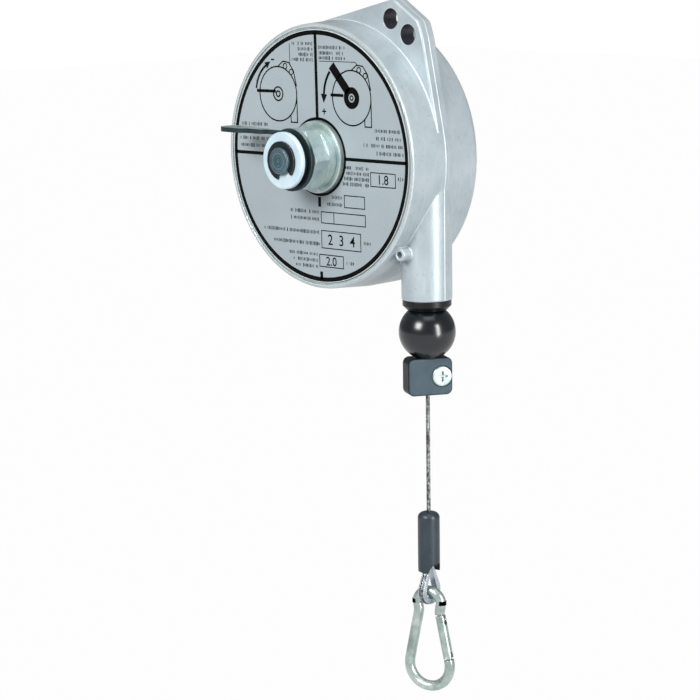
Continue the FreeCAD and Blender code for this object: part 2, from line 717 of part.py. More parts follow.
def coil(radius, wire, pitch, turns, place):
    """Helical wire about the place's Z axis, from its X = radius."""
    path = Part.Wire(Part.makeHelix(pitch, pitch * turns, radius).Edges)
    path.Placement = place
    section = Part.Wire(Part.Circle(V(radius, 0, 0), V(0, 1, 0), wire / 2).toShape())
    section.Placement = place
    roundEnd = Part.makeSphere(wire / 2 * d.wrapEndShare.value, place.multVec(V(radius, 0, 0)))
    return path.makePipeShell([section], True, True).fuse(roundEnd)


# Its coils grip the axle, and its front end stands out through the hub's slot into the lever's notch
towardsRear = FreeCAD.Rotation(V(1, 0, 0), -90)
endDown = FreeCAD.Rotation(V(0, 0, 1), 90)
wrapPlace = FreeCAD.Placement(V(0, -wrapStart.value, 0), towardsRear.multiply(endDown))
wrapCoil = coil(wrapRadius.value, d.wrapWire.value, d.wrapPitch.value, d.wrapTurns.value, wrapPlace)
tang = Part.makeCylinder(d.wrapWire.value / 2 * d.wrapEndShare.value, d.tangReach.value - wrapRadius.value,
                         V(0, -wrapStart.value, -wrapRadius.value), V(0, 0, -1))
set_shape("wrap_spring", wrapCoil.fuse(tang))

# Release lever: a ring on the hub's journal with an arm and a thumb pad
leverRear = -d.hexFront - d.faceGap
leverFront = -d.hexFront - d.leverThickness + 2 * d.faceGap
lever = turned("release_lever", pipe_profile(d.leverRing, arborFit, leverFront, leverRear))
notchHalf = d.wrapWire / 2 + d.tangGap
cut_along_y(lever, lambda s: outline(s, [
    (-notchHalf, 0), (notchHalf, 0), (notchHalf, -d.tangReach - d.tangGap),
    (-notchHalf, -d.tangReach - d.tangGap)]), leverFront, leverRear)
armTop = d.leverHeight + d.leverPlate / 2
armBottom = d.leverHeight - d.leverPlate / 2
padStart = d.leverReach - d.padLength
armMiddle = (leverFront + leverRear) / 2


def lever_plan(sketch):
    """Plan of the arm and pad, as X and Y."""
    half = d.leverWidth / 2
    padHalf = d.padWidth / 2
    clear = hexCorner + d.leverClear
    outline(sketch, [
        (-d.armRoot, leverFront), (-d.armRoot, leverRear), (-clear, leverRear),
        (-clear - d.leverClear, armMiddle + half),
        (-padStart, armMiddle + half), (-padStart - padHalf / 2, armMiddle + padHalf),
        (-d.leverReach, armMiddle + padHalf), (-d.leverReach, armMiddle - padHalf),
        (-padStart - padHalf / 2, armMiddle - padHalf), (-padStart, armMiddle - half),
        (-clear - d.leverClear, armMiddle - half), (-clear, leverFront)])


pad_along_z(lever, lever_plan, armBottom, armTop)


def is_pad_corner(edge):
    box = edge.BoundBox
    upright = box.XLength < 0.01 and box.YLength < 0.01
    return upright and abs(box.XMin + d.leverReach.value) < 0.01


round_edges(lever, is_pad_corner, d.padCorner)
locate(lever, "release_lever")

# Front stack on the axle: dark spring washer, bright washer and circlip
frictionRear = -d.hexFront - d.leverThickness
frictionFront = frictionRear - d.frictionThickness
locate(turned("friction_washer", [
    (axleFit, frictionRear - d.frictionCone), (d.frictionRadius, frictionRear - d.faceGap),
    (d.frictionRadius, frictionRear - d.frictionRim), (axleFit, frictionFront)]), "friction_washer")
endWasher = turned("end_washer", pipe_profile(d.endWasherRadius, axleFit, -washerFront, frictionFront))
round_edges(endWasher, lambda e: e.BoundBox.XLength > 2 * d.frictionRadius.value
            and e.BoundBox.YLength < 0.01,
            d.edgeChamfer, "Chamfer")
locate(endWasher, "end_washer")
clip = turned("circlip", pipe_profile(d.circlipRadius, clipSeat, -clipFront, -washerFront))
cut_along_y(clip, lambda s: outline(s, [
    (0, 0), on_circle(2 * d.circlipRadius, d.circlipMouthRight - 90),
    on_circle(2 * d.circlipRadius, -d.circlipMouthLeft - 90)]), -clipFront, -washerFront)
locate(clip, "circlip")

# Drum: a pot with a grooved rim, open to the front for the mainspring
cableRoot = neckOffset - d.cableRadius
drumInside = cableRoot - d.drumWall
flangeRadius = hollow - d.flangeGap
springCoverRadius = cableRoot + d.plateRim
rivetCircle = cableRoot - d.drumWall / 2
webFront = drumRear - d.webThickness
stripWidth = webFront - slotFront - d.stripFront - d.stripRear
flangeRear = drumRear - d.flangeThickness
flangeFront = drumFront + d.flangeThickness
shoulderFace = rearInside - d.shoulderDepth
hubRear = shoulderFace - d.faceGap
plateSeat = springCoverRadius + d.coverGap / 2
drum = turned("drum", [
    (d.drumBushRadius, webFront), (drumInside, webFront), (drumInside, slotFront),
    (plateSeat, slotFront), (plateSeat, drumFront), (flangeRadius, drumFront),
    (flangeRadius, flangeFront), (cableRoot, flangeFront), (cableRoot, flangeRear),
    (flangeRadius, flangeRear), (flangeRadius, drumRear), (d.drumHub, drumRear),
    (d.drumHub, hubRear), (d.drumBushRadius, hubRear)])
anchorCircle = drumInside - d.anchorRadius - d.anchorWall
cut_along_y(drum, lambda s: circle(s, 0, anchorCircle, d.anchorRadius), webFront, drumRear)
rivetEnd = drumFront + d.rivetLength
rivetHole = cut_along_y(drum, lambda s: circle(s, rivetCircle, 0, d.rivetRadius), slotFront, rivetEnd)
ring_of(drum, rivetHole, d.rivetCount)
anchorPlace = lugMiddle + d.cableSpacing * (d.turnsOnDrum / 2 - 1)
anchorSketch = new_sketch(drum, "YZ_Plane", -drumInside + 1)
circle(anchorSketch, anchorPlace, 0, d.cableAnchorRadius)
feature(drum, "Pocket", anchorSketch, Length=d.drumWall + 2, Reversed=False)
locate(drum, "drum")
cableAnchor = new_body("cable_anchor")
anchorSketch = new_sketch(cableAnchor, "YZ_Plane", -cableRoot + d.cableAnchorSink)
circle(anchorSketch, anchorPlace, 0, d.cableAnchorRadius)
feature(cableAnchor, "Pad", anchorSketch, Length=d.drumWall - 4 * d.cableAnchorSink)
locate(cableAnchor, "cable_anchor")
locate(turned("drum_bush", pipe_profile(d.drumBushRadius, axleFit, webFront, hubRear)), "drum_bush")

# Plate that closes the spring's space, with its bush and rivets
springCover = turned("spring_cover",
                     pipe_profile(springCoverRadius, d.coverBushRadius, drumFront, slotFront))
rivetHole = cut_along_y(springCover, lambda s: circle(s, rivetCircle, 0, d.rivetRadius),
                        drumFront, slotFront)
ring_of(springCover, rivetHole, d.rivetCount)
locate(springCover, "spring_cover")
rivets = []
for k in range(int(d.rivetCount.value)):
    turn = k * 2 * math.pi / d.rivetCount.value
    centre = V(rivetCircle.value * math.cos(turn), drumFront.value, rivetCircle.value * math.sin(turn))
    shank = Part.makeCylinder(d.rivetRadius.value, d.rivetLength.value, centre, V(0, 1, 0))
    headFace = d.rivetHead.value * d.rivetHeadShare.value
    head = Part.makeCone(d.rivetHead.value, headFace, d.rivetHeadThickness.value, centre, V(0, -1, 0))
    rivets.append(shank.fuse(head))
set_shape("cover_rivets", Part.makeCompound(rivets))
locate(turned("spring_cover_bush", [
    (arborFit, drumFront), (d.coverBushRadius, drumFront), (d.coverBushRadius, slotFront),
    (d.coverBushRadius + d.coverBushRim, slotFront),
    (d.coverBushRadius + d.coverBushRim, slotFront + d.coverBushRim),
    (arborFit, slotFront + d.coverBushRim)]), "spring_cover_bush")


# Mainspring: a flat strip wound as half circles whose centres change sides, so that it runs outwards
springStart = d.arborRadius.value + d.stripStart.value


def spiral_wire(offset):
    """One side of the strip, as arcs about Y, from the arbor to the drum."""
    pitch = (anchorCircle.value - d.anchorRadius.value - d.stripEnd.value - springStart) / d.stripTurns.value
    edges = []
    radius = springStart
    side = 1
    centre = 0.0
    for half in range(int(2 * d.stripTurns.value)):
        start = V(centre + side * (radius + offset), 0, 0)
        middle = V(centre, 0, side * (radius + offset))
        end = V(centre - side * (radius + offset), 0, 0)
        edges.append(Part.Arc(start, middle, end).toShape())
        centre += side * pitch / 2
        radius += pitch / 2
        side = -side
    return edges


inner = spiral_wire(0)
outer = spiral_wire(d.stripThickness.value)


def end_of(edges, last):
    edge = edges[-1] if last else edges[0]
    return edge.valueAt(edge.LastParameter if last else edge.FirstParameter)


tongue = axleFit.value + d.tabDepth.value
strip = Part.Face(Part.Wire(Part.__sortEdges__(
    inner + outer + [Part.makeLine(end_of(inner, False), end_of(outer, False)),
                     Part.makeLine(end_of(inner, True), end_of(outer, True))])))
springY = slotFront.value + d.stripFront.value
strip = strip.extrude(V(0, stripWidth.value, 0))
strip.translate(V(0, springY, 0))
tab = Part.makeBox(springStart + d.stripThickness.value - tongue, stripWidth.value, d.stripThickness.value,
                   V(tongue, springY, -d.stripThickness.value / 2))
set_shape("mainspring", strip.fuse(tab).removeSplitter())

anchorPin = new_body("spring_anchor")
pad_along_y(anchorPin, lambda s: circle(s, 0, anchorCircle, d.anchorRadius), slotFront + 1, drumRear)
locate(anchorPin, "spring_anchor")

# Cable on the drum, drawn as the closed solid of its turns
turnStart = lugMiddle - d.cableSpacing * d.turnsOnDrum / 2
profile = [(cableRoot, turnStart)]
for k in range(int(d.turnsOnDrum.value)):
    low = turnStart + d.cableSpacing * k
    profile += [(cableRoot + 2 * d.cableRadius, low + d.cableSpacing * d.cableFlank),
                (cableRoot + 2 * d.cableRadius, low + d.cableSpacing * (1 - d.cableFlank)),
                (cableRoot + d.cableValley, low + d.cableSpacing)]
profile[-1] = (cableRoot, turnStart + d.cableSpacing * d.turnsOnDrum)
locate(turned("cable_on_drum", profile), "cable_on_drum")

# Neck bush: guides the cable and seats the ball
neckFace = -d.neckBottom
bushFace = neckFace - d.bushDrop
neckBush = turned("neck_bush", [
    (d.cableGuide, neckFace + d.bushSpigot), (d.neckBore, neckFace + d.bushSpigot), (d.neckBore, neckFace),
    (d.bushFlangeRadius, neckFace), (d.bushFlangeRadius, bushFace + d.bushChamfer),
    (d.bushFlangeRadius - d.bushChamfer, bushFace),
    (d.seatRadius, bushFace), (d.cableGuide, bushFace + d.seatDepth)], role="XZ_Plane")
locate(neckBush, "neck_bush", x=neckOffset, y=lugMiddle)

# Cable: from the drum to the ball, then from the clamp to the sleeve
cableHole = d.cableRadius + d.cableGap
ballTop = -d.ballDrop + d.ballKnot
windingOuter = cableRoot + 2 * d.cableRadius
leavesWinding = root(windingOuter * windingOuter - cableRoot * cableRoot) + d.windingClear
stretch = new_body("cable_in_neck")
pad_along_z(stretch, lambda s: circle(s, 0, 0, d.cableRadius), ballTop, -leavesWinding)
locate(stretch, "cable_in_neck", x=neckOffset, y=lugMiddle)


ball = doc.addObject("Part::Sphere", "ballSolid")
tie(ball, "Radius", d.ballRadius)
tie(ball, "Placement.Base.z", -d.ballDrop)
trim = doc.addObject("Part::Cylinder", "ballTrim")
tie(trim, "Radius", d.ballRadius * 2)
tie(trim, "Height", d.ballRadius)
tie(trim, "Placement.Base.z", -d.ballDrop - d.ballFlat - d.ballRadius)
ballBore = doc.addObject("Part::Cylinder", "ballBore")
tie(ballBore, "Radius", cableHole)
tie(ballBore, "Height", d.ballRadius * 4)
tie(ballBore, "Placement.Base.z", -d.ballDrop - d.ballRadius * 2)
ballTrimmed = doc.addObject("Part::Cut", "ballTrimmed")
ballTrimmed.Base = ball
ballTrimmed.Tool = trim
ballDone = doc.addObject("Part::Cut", "stop_ball")
ballDone.Base = ballTrimmed
ballDone.Tool = ballBore
locate(ballDone, "stop_ball", x=neckOffset, y=lugMiddle)

collarTop = -d.ballDrop - d.ballFlat
locate(turned("ball_collar", pipe_profile(d.collarSmall, cableHole, -d.clampTop, collarTop), role="XZ_Plane"),
       "ball_collar", x=neckOffset, y=lugMiddle)

# Clamp: two halves with a groove for the cable, drawn with their faces across X and their seam at X = 0
clampBottom = -d.clampTop - d.clampHeight
clampMiddle = -d.clampTop - d.clampHeight / 2


def clamp_half(label, side):
    """One half, side 1 towards the screw's head and -1 away from it."""
    body = new_body(label)
    sketch = new_sketch(body, "YZ_Plane")
    half = d.clampWidth / 2
    outline(sketch, [(-half, clampBottom), (half, clampBottom), (half, -d.clampTop), (-half, -d.clampTop)])
    feature(body, "Pad", sketch, Length=d.clampHalf, Reversed=side < 0)
    round_edges(body, lambda e: abs(e.BoundBox.XLength - d.clampHalf.value) < 0.01
                and e.BoundBox.ZLength < 0.01 and e.BoundBox.YLength < 0.01, d.clampCorner)
    face = side * d.clampHalf.value
    round_edges(body, lambda e: abs(e.BoundBox.XMax - face) < 0.01 and abs(e.BoundBox.XMin - face) < 0.01,
                d.clampEdge)
    groove = new_sketch(body, "XY_Plane", -d.clampTop)
    circle(groove, 0, 0, d.cableRadius)
    feature(body, "Pocket", groove, Length=d.clampHeight)
    return body


def cut_along_x(body, draw, low, high):
    sketch = new_sketch(body, "YZ_Plane", high)
    draw(sketch)
    return feature(body, "Pocket", sketch, Length=as_dim(high) - low)


def pad_along_x(body, draw, low, high):
    sketch = new_sketch(body, "YZ_Plane", low)
    draw(sketch)
    return feature(body, "Pad", sketch, Length=as_dim(high) - low)


clampYaw = d.clampYaw - 90
screwSeat = d.clampHalf - d.screwRecess
nutFace = d.clampNutThickness - d.clampHalf
clampFront = clamp_half("clamp_front", 1)
cut_along_x(clampFront, lambda s: circle(s, d.screwOffset, clampMiddle, d.screwShank + d.screwGap),
            0, d.clampHalf)
cut_along_x(clampFront, lambda s: circle(s, d.screwOffset, clampMiddle, d.screwHead + d.headGap),
            screwSeat, d.clampHalf)
locate(clampFront, "clamp_front", neckOffset, lugMiddle, 0, clampYaw)
clampBack = clamp_half("clamp_back", -1)


def nut_outline(sketch):
    hexagon(sketch, d.clampNutFlats, d.screwOffset, clampMiddle, d.clampNutTurn.value)


cut_along_x(clampBack, lambda s: circle(s, d.screwOffset, clampMiddle, d.screwShank + d.screwGap),
            -d.clampHalf, 0)
cut_along_x(clampBack, nut_outline, -d.clampHalf, nutFace)
locate(clampBack, "clamp_back", neckOffset, lugMiddle, 0, clampYaw)

screw = new_body("clamp_screw")
pad_along_x(screw, lambda s: circle(s, d.screwOffset, clampMiddle, d.screwShank), -d.clampHalf, screwSeat)
pad_along_x(screw, lambda s: circle(s, d.screwOffset, clampMiddle, d.screwHead), screwSeat,
            screwSeat + d.screwHeadThickness)
screwFace = screwSeat + d.screwHeadThickness
round_edges(screw, lambda e: abs(e.BoundBox.XMin - screwFace.value) < 0.01, d.headRound)
for lengthY, lengthZ in ((d.crossLong, d.crossHalf), (d.crossHalf, d.crossLong)):
    cut_along_x(screw, lambda s: outline(s, [
        (d.screwOffset - lengthY, clampMiddle - lengthZ), (d.screwOffset + lengthY, clampMiddle - lengthZ),
        (d.screwOffset + lengthY, clampMiddle + lengthZ), (d.screwOffset - lengthY, clampMiddle + lengthZ)]),
        screwFace - d.crossDepth, screwFace)
locate(screw, "clamp_screw", neckOffset, lugMiddle, 0, clampYaw)

clampNut = new_body("clamp_nut")
pad_along_x(clampNut, nut_outline, -d.clampHalf, nutFace)
cut_along_x(clampNut, lambda s: circle(s, d.screwOffset, clampMiddle, d.screwShank), -d.clampHalf, nutFace)
locate(clampNut, "clamp_nut", neckOffset, lugMiddle, 0, clampYaw)

ferruleTop = -d.sleeveTop - d.sleeveRound
ferruleBottom = ferruleTop - d.ferruleLength
core = new_body("cable_core")
pad_along_z(core, lambda s: circle(s, 0, 0, d.cableRadius), clampBottom, ballTop)
locate(core, "cable_core", x=neckOffset, y=lugMiddle)
tail = new_body("cable_tail")
pad_along_z(tail, lambda s: circle(s, 0, 0, d.cableRadius), ferruleTop, clampBottom)
locate(tail, "cable_tail", x=neckOffset, y=lugMiddle)

# Ferrule and sleeve above the thimble
locate(turned("ferrule", [(0, ferruleBottom), (d.ferruleRadius, ferruleBottom), (d.ferruleRadius, ferruleTop),
                          (0, ferruleTop)], role="XZ_Plane"), "ferrule", x=neckOffset, y=lugMiddle)
sleeveInside = d.sleeveRadius - d.sleeveWall
sleeve = turned("sleeve", [
    (cableHole, ferruleTop + d.ferruleGap), (sleeveInside, ferruleTop + d.ferruleGap),
    (sleeveInside, -d.sleeveBottom),
    (d.sleeveRadius, -d.sleeveBottom), (d.sleeveRadius, -d.sleeveTop), (cableHole, -d.sleeveTop)],
    role="XZ_Plane")
round_edges(sleeve, lambda e: abs(e.BoundBox.ZMin + d.sleeveTop.value) < 0.01
            and e.BoundBox.XLength > 2 * sleeveInside.value, d.sleeveRound)
round_edges(sleeve, lambda e: abs(e.BoundBox.ZMax + d.sleeveBottom.value) < 0.01
            and e.BoundBox.XLength > 2 * sleeveInside.value + 1, d.sleeveEdge)
archRadius = (d.sleeveArch * d.sleeveArch + d.sleeveArchRise * d.sleeveArchRise) / (2 * d.sleeveArchRise)
archCut = new_sketch(sleeve, "YZ_Plane", d.sleeveRadius + 1)
circle(archCut, 0, -d.sleeveBottom + d.sleeveArchRise - archRadius, archRadius)
feature(sleeve, "Pocket", archCut, Length=2 * d.sleeveRadius + 2)
locate(sleeve, "sleeve", neckOffset, lugMiddle, 0, d.thimbleYaw)


# Thimble: a channel bent to a teardrop, drawn in the YZ plane with its hole along X
def teardrop(grow):
    """Closed teardrop of the thimble's inside, grown outwards, as a wire in the YZ plane."""
    radius = d.eyeRadius.value + grow
    centre = -d.eyeBottom.value + d.eyeRadius.value
    tip = -d.thimbleTop.value + grow
    tilt = math.asin(radius / (tip - centre))
    touchY = radius * math.cos(tilt)
    touchZ = centre + radius * math.sin(tilt)
    bottom = Part.Arc(V(0, touchY, touchZ), V(0, 0, centre - radius), V(0, -touchY, touchZ)).toShape()
    sides = [Part.makeLine(V(0, -touchY, touchZ), V(0, 0, tip)),
             Part.makeLine(V(0, 0, tip), V(0, touchY, touchZ))]
    return Part.Wire([bottom] + sides)


def plate_of(wire, thickness):
    solid = Part.Face(wire).extrude(V(thickness, 0, 0))
    solid.translate(V(-thickness / 2, 0, 0))
    return solid


cableGrow = d.thimbleFlange.value
thimble = plate_of(teardrop(cableGrow), d.thimbleThickness.value)
thimble = thimble.cut(plate_of(teardrop(0), d.thimbleThickness.value * 2))
channel = plate_of(teardrop(cableGrow * 3), 2 * d.cableRadius.value + d.channelGap.value)
channel = channel.cut(plate_of(teardrop(d.thimbleWall.value), d.thimbleThickness.value * 2))
trimSize = d.thimbleTop.value
trimTop = Part.makeBox(trimSize, trimSize, trimSize, V(-trimSize / 2, -trimSize / 2, ferruleBottom.value))
thimble = thimble.cut(channel).cut(trimTop)
set_shape("thimble", thimble, neckOffset, lugMiddle, 0, d.thimbleYaw)

# Cable round the thimble, from the ferrule and back to it
loopGrow = d.thimbleWall.value + d.cableRadius.value + d.eyeCableGap.value
loopWire = teardrop(loopGrow)
startZ = ferruleBottom.value
arcEdge, leftSide, rightSide = loopWire.Edges


def side_start(sign):
    """Where the loop's side passes below the ferrule."""
    top = arcEdge.valueAt(arcEdge.FirstParameter if sign > 0 else arcEdge.LastParameter)
    tipZ = -d.thimbleTop.value + loopGrow
    share = min((startZ - top.z) / (tipZ - top.z), d.eyeCableEnd.value)
    return V(0, top.y * (1 - share), top.z + (tipZ - top.z) * share), top


rightTop, rightTouch = side_start(1)
leftTop, leftTouch = side_start(-1)
loopPath = Part.Wire([Part.makeLine(rightTop, rightTouch), arcEdge, Part.makeLine(leftTouch, leftTop)])
direction = (rightTouch - rightTop).normalize()
loopSection = Part.Wire(Part.Circle(rightTop, direction, d.cableRadius.value).toShape())
set_shape("cable_eye", loopPath.makePipeShell([loopSection], True, False), neckOffset, lugMiddle, 0,
          d.thimbleYaw)


# Spring hook in its own plane: X across, Z up, with Z = 0 at the top of the wire
def tangent_path(points, radii):
    """Straight runs joined by tangent arcs at the inner points."""
    edges = []
    here = points[0]
    for k in range(1, len(points) - 1):
        back = (points[k - 1] - points[k]).normalize()
        on = (points[k + 1] - points[k]).normalize()
        half = back.getAngle(on) / 2
        reach = radii[k] / math.tan(half)
        bisector = (back + on).normalize()
        first = points[k] + back * reach
        last = points[k] + on * reach
        middle = points[k] + bisector * (radii[k] / math.sin(half) - radii[k])
        if (first - here).Length > 1e-4:
            edges.append(Part.makeLine(here, first))
        edges.append(Part.Arc(first, middle, last).toShape())
        here = last
    edges.append(Part.makeLine(here, points[-1]))
    return Part.Wire(edges)


wire = d.hookWire.value
topZ = -wire / 2
bottomZ = -d.hookLength.value + wire / 2
waistZ = -d.hookWaistDrop.value
waist = d.hookWaist.value
wide = d.hookBottomRadius.value
topHalf = d.hookTopRadius.value
hipZ = bottomZ + d.hipRise.value


def leg_x(z):
    """Centre line of the straight part of the right leg at a height."""
    share = (waistZ - z) / (waistZ - hipZ)
    return waist + (wide - waist) * share


gateTopZ = -d.gateTop.value
hingeZ = -d.gateHinge.value
lean = math.atan2(wide - waist, waistZ - hipZ)
nose = V(leg_x(gateTopZ + 1), 0, gateTopZ + 1)
heelZ = hingeZ - d.gateSwing.value - 3 * d.gateGap.value
heel = V(leg_x(heelZ), 0, heelZ)
points = [nose, V(waist, 0, waistZ), V(topHalf, 0, waistZ / 2 - 1), V(topHalf, 0, topZ), V(-topHalf, 0, topZ),
          V(-topHalf, 0, waistZ / 2 - 1), V(-waist, 0, waistZ), V(-wide, 0, hipZ), V(-wide, 0, bottomZ),
          V(wide, 0, bottomZ), V(wide, 0, hipZ), heel]
bend = topHalf * d.bendShare.value
deep = wide * d.bendShare.value
soft = d.hookSoftBend.value
hip = d.hookHipBend.value
radii = [0, soft, soft, bend, bend, soft, soft, hip, deep, deep, hip, 0]
hookPath = tangent_path(points, radii)
startDirection = (points[1] - points[0]).normalize()
hookSection = Part.Wire(Part.Circle(nose, startDirection, wire / 2).toShape())
hook = hookPath.makePipeShell([hookSection], True, False)
legAxis = V(math.sin(lean), 0, -math.cos(lean))
legNormal = V(math.cos(lean), 0, math.sin(lean))
gap = d.gateGap.value
tongueHalf = d.noseTongue.value
pinRadius = d.gatePinRadius.value


def leg_box(start, length, across, thick):
    """A box along the right leg from a point: across in the hook's plane, thick through it."""
    box = Part.makeBox(length, thick, across, V(0, -thick / 2, -across / 2))
    turn = FreeCAD.Matrix(legAxis.x, 0, legNormal.x, start.x,
                          0, 1, 0, start.y,
                          legAxis.z, 0, legNormal.z, start.z,
                          0, 0, 0, 1)
    return box.transformGeometry(turn)


gateStart = V(leg_x(gateTopZ), 0, gateTopZ)
hinge = V(leg_x(hingeZ), 0, hingeZ)
gateLength = (hinge - gateStart).Length

# Nose: the end of the wire carries a tongue with a small head, which the slotted gate closes over
tongueLength = d.tongueLength.value
neckBox = leg_box(nose, tongueLength, d.tongueWidth.value, 2 * tongueHalf)
headLength = d.tongueHead.value
headBox = leg_box(nose + legAxis * (tongueLength - headLength), headLength, d.tongueHeadWidth.value,
                  2 * tongueHalf)
hook = hook.fuse([neckBox, headBox])

# Heel: the wire's other end is flattened to a tongue for the gate's pin
heelEye = d.heelEye.value
heelLength = heelEye + (heel - hinge).Length + d.heelRoot.value
heelTongue = leg_box(hinge - legAxis * heelEye, heelLength, d.heelWidth.value, 2 * tongueHalf)
hook = hook.fuse(heelTongue)
hook = hook.cut(Part.makeCylinder(pinRadius, wire * 2, hinge - V(0, wire, 0), V(0, 1, 0)))
hookPlace = dict(x=neckOffset, y=lugMiddle, z=-d.eyeBottom + d.hookWire + d.hookLift, yaw=d.hookYaw)
set_shape("hook_body", hook.removeSplitter(), **hookPlace)

# Gate: a tube slotted at both ends
gate = Part.makeCylinder(wire / 2, gateLength + d.gateEnd.value, gateStart + legAxis * gap, legAxis)
upperSlot = leg_box(gateStart, tongueLength + d.slotRoom.value, wire * 2, 2 * (tongueHalf + gap))
lowerSlot = leg_box(hinge - legAxis * d.heelSlot.value, wire * 2, wire * 2, 2 * (tongueHalf + gap))
springBore = Part.makeCylinder(d.gateBore.value, gateLength - tongueLength - d.boreRest.value,
                               gateStart + legAxis * (tongueLength + 1), legAxis)
gate = gate.cut([upperSlot, lowerSlot, springBore])
pinFit = pinRadius + d.runningGap.value
gate = gate.cut(Part.makeCylinder(pinFit, wire * 2, hinge - V(0, wire, 0), V(0, 1, 0)))
set_shape("hook_gate", gate, **hookPlace)
pinLength = wire * d.pinShare.value
set_shape("gate_pin", Part.makeCylinder(pinRadius, pinLength, hinge - V(0, pinLength / 2, 0), V(0, 1, 0)),
          **hookPlace)
springLength = gateLength - tongueLength - d.springRest.value
springStartPoint = gateStart + legAxis * (tongueLength + d.springTop.value)
springPlace = FreeCAD.Placement(springStartPoint, FreeCAD.Rotation(V(0, 0, 1), legAxis))
gatePitch = d.gatePitch.value
gateCoil = coil(d.gateBore.value - d.gateCoilGap.value, d.gateWire.value, gatePitch, springLength / gatePitch,
                springPlace)
set_shape("gate_spring", gateCoil, **hookPlace)

doc.recompute()

faults = []
for thing in doc.Objects:
    if {"Invalid", "Error"} & set(thing.State):
        faults.append(f"{thing.Label}: {thing.State}")
for thing in parts:
    if thing.Shape.isNull() or not thing.Shape.isValid() or not thing.Shape.Solids:
        faults.append(f"{thing.Label}: no valid solid")
if faults:
    raise RuntimeError("; ".join(faults))

os.makedirs("parts", exist_ok=True)
for thing in parts:
    thing.Shape.exportStep(f"parts/{thing.Label}.step")
    print(f"{thing.Label:20s} solids {len(thing.Shape.Solids)} volume {thing.Shape.Volume:10.1f}")
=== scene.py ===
import json
import math

import bpy
from mathutils import Matrix, Vector


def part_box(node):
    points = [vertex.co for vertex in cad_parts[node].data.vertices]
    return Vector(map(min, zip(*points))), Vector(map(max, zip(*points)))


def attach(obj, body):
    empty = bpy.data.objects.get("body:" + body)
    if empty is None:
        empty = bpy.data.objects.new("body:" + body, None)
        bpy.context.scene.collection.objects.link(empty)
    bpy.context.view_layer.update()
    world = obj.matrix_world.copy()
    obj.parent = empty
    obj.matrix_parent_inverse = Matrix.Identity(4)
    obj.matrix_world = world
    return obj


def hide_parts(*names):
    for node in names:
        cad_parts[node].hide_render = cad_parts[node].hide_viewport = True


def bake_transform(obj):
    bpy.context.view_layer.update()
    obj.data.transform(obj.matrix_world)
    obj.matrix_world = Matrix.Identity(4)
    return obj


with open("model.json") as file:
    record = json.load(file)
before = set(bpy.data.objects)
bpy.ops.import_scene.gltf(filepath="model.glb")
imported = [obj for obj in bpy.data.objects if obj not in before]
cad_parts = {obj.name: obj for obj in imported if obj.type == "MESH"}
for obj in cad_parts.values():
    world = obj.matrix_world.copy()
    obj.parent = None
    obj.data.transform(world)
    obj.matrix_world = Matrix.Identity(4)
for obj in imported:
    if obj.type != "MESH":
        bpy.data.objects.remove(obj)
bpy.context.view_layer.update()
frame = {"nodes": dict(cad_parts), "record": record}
print("frame loaded:", len(frame["nodes"]), "nodes")

mm = 0.001
labelLow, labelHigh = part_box("label")
axleX = (labelLow.x + labelHigh.x) / 2
axleZ = (labelLow.z + labelHigh.z) / 2
faceY = labelLow.y
bushLow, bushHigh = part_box("neck_bush")
neckX = ((bushLow.x + bushHigh.x) / 2 - axleX) / mm
neckY = ((bushLow.y + bushHigh.y) / 2 - faceY) / mm


def at(x, y, z):
    # millimetres from the axle's centre on the label's face, to the scene's metres
    return Vector((axleX + x * mm, faceY + y * mm, axleZ + z * mm))


# ---- camera, floor and lights

cameraPlace = {
    "turn": 45.95, "rise": 10.07, "roll": -0.756,  # degrees
    "distance": 1439.2, "right": 15.98, "up": -107.26,  # millimetres
    "lens": 133.63,
}


def makeCamera(place):
    turn, rise, roll = (math.radians(place[key]) for key in ("turn", "rise", "roll"))
    back = Vector((math.sin(turn) * math.cos(rise), -math.cos(turn) * math.cos(rise), math.sin(rise)))
    right = (-back).cross(Vector((0, 0, 1))).normalized()
    up = right.cross(-back)
    target = at(0, 0, 0) + (right * place["right"] + up * place["up"]) * mm
    tiltedRight = right * math.cos(roll) + up * math.sin(roll)
    tiltedUp = up * math.cos(roll) - right * math.sin(roll)
    data = bpy.data.cameras.new("viewCamera")
    data.lens = place["lens"]
    data.sensor_width = 36
    data.clip_start = 0.05
    data.clip_end = 50
    camera = bpy.data.objects.new("viewCamera", data)
    bpy.context.scene.collection.objects.link(camera)
    turnMatrix = Matrix((tiltedRight, tiltedUp, back)).transposed().to_4x4()
    camera.matrix_world = Matrix.Translation(target + back * place["distance"] * mm) @ turnMatrix
    bpy.context.scene.camera = camera


makeCamera(cameraPlace)
bpy.context.scene.view_settings.view_transform = "Standard"


# ---- materials

class Link:
    # one output in a material: Python's operators add Math nodes to it
    def __init__(self, finish, socket):
        self.finish = finish
        self.socket = socket

    def maths(self, operation, first, second):
        return self.finish.node("ShaderNodeMath", {"operation": operation}, {0: first, 1: second})

    def __add__(self, other):
        return self.maths("ADD", self, other)

    def __radd__(self, other):
        return self.maths("ADD", other, self)

    def __sub__(self, other):
        return self.maths("SUBTRACT", self, other)

    def __rsub__(self, other):
        return self.maths("SUBTRACT", other, self)

    def __mul__(self, other):
        return self.maths("MULTIPLY", self, other)

    def __rmul__(self, other):
        return self.maths("MULTIPLY", other, self)

    def __truediv__(self, other):
        return self.maths("DIVIDE", self, other)

    def __gt__(self, other):
        return self.maths("GREATER_THAN", self, other)

    def __lt__(self, other):
        return self.maths("LESS_THAN", self, other)

    def __pow__(self, other):
        return self.maths("POWER", self, other)


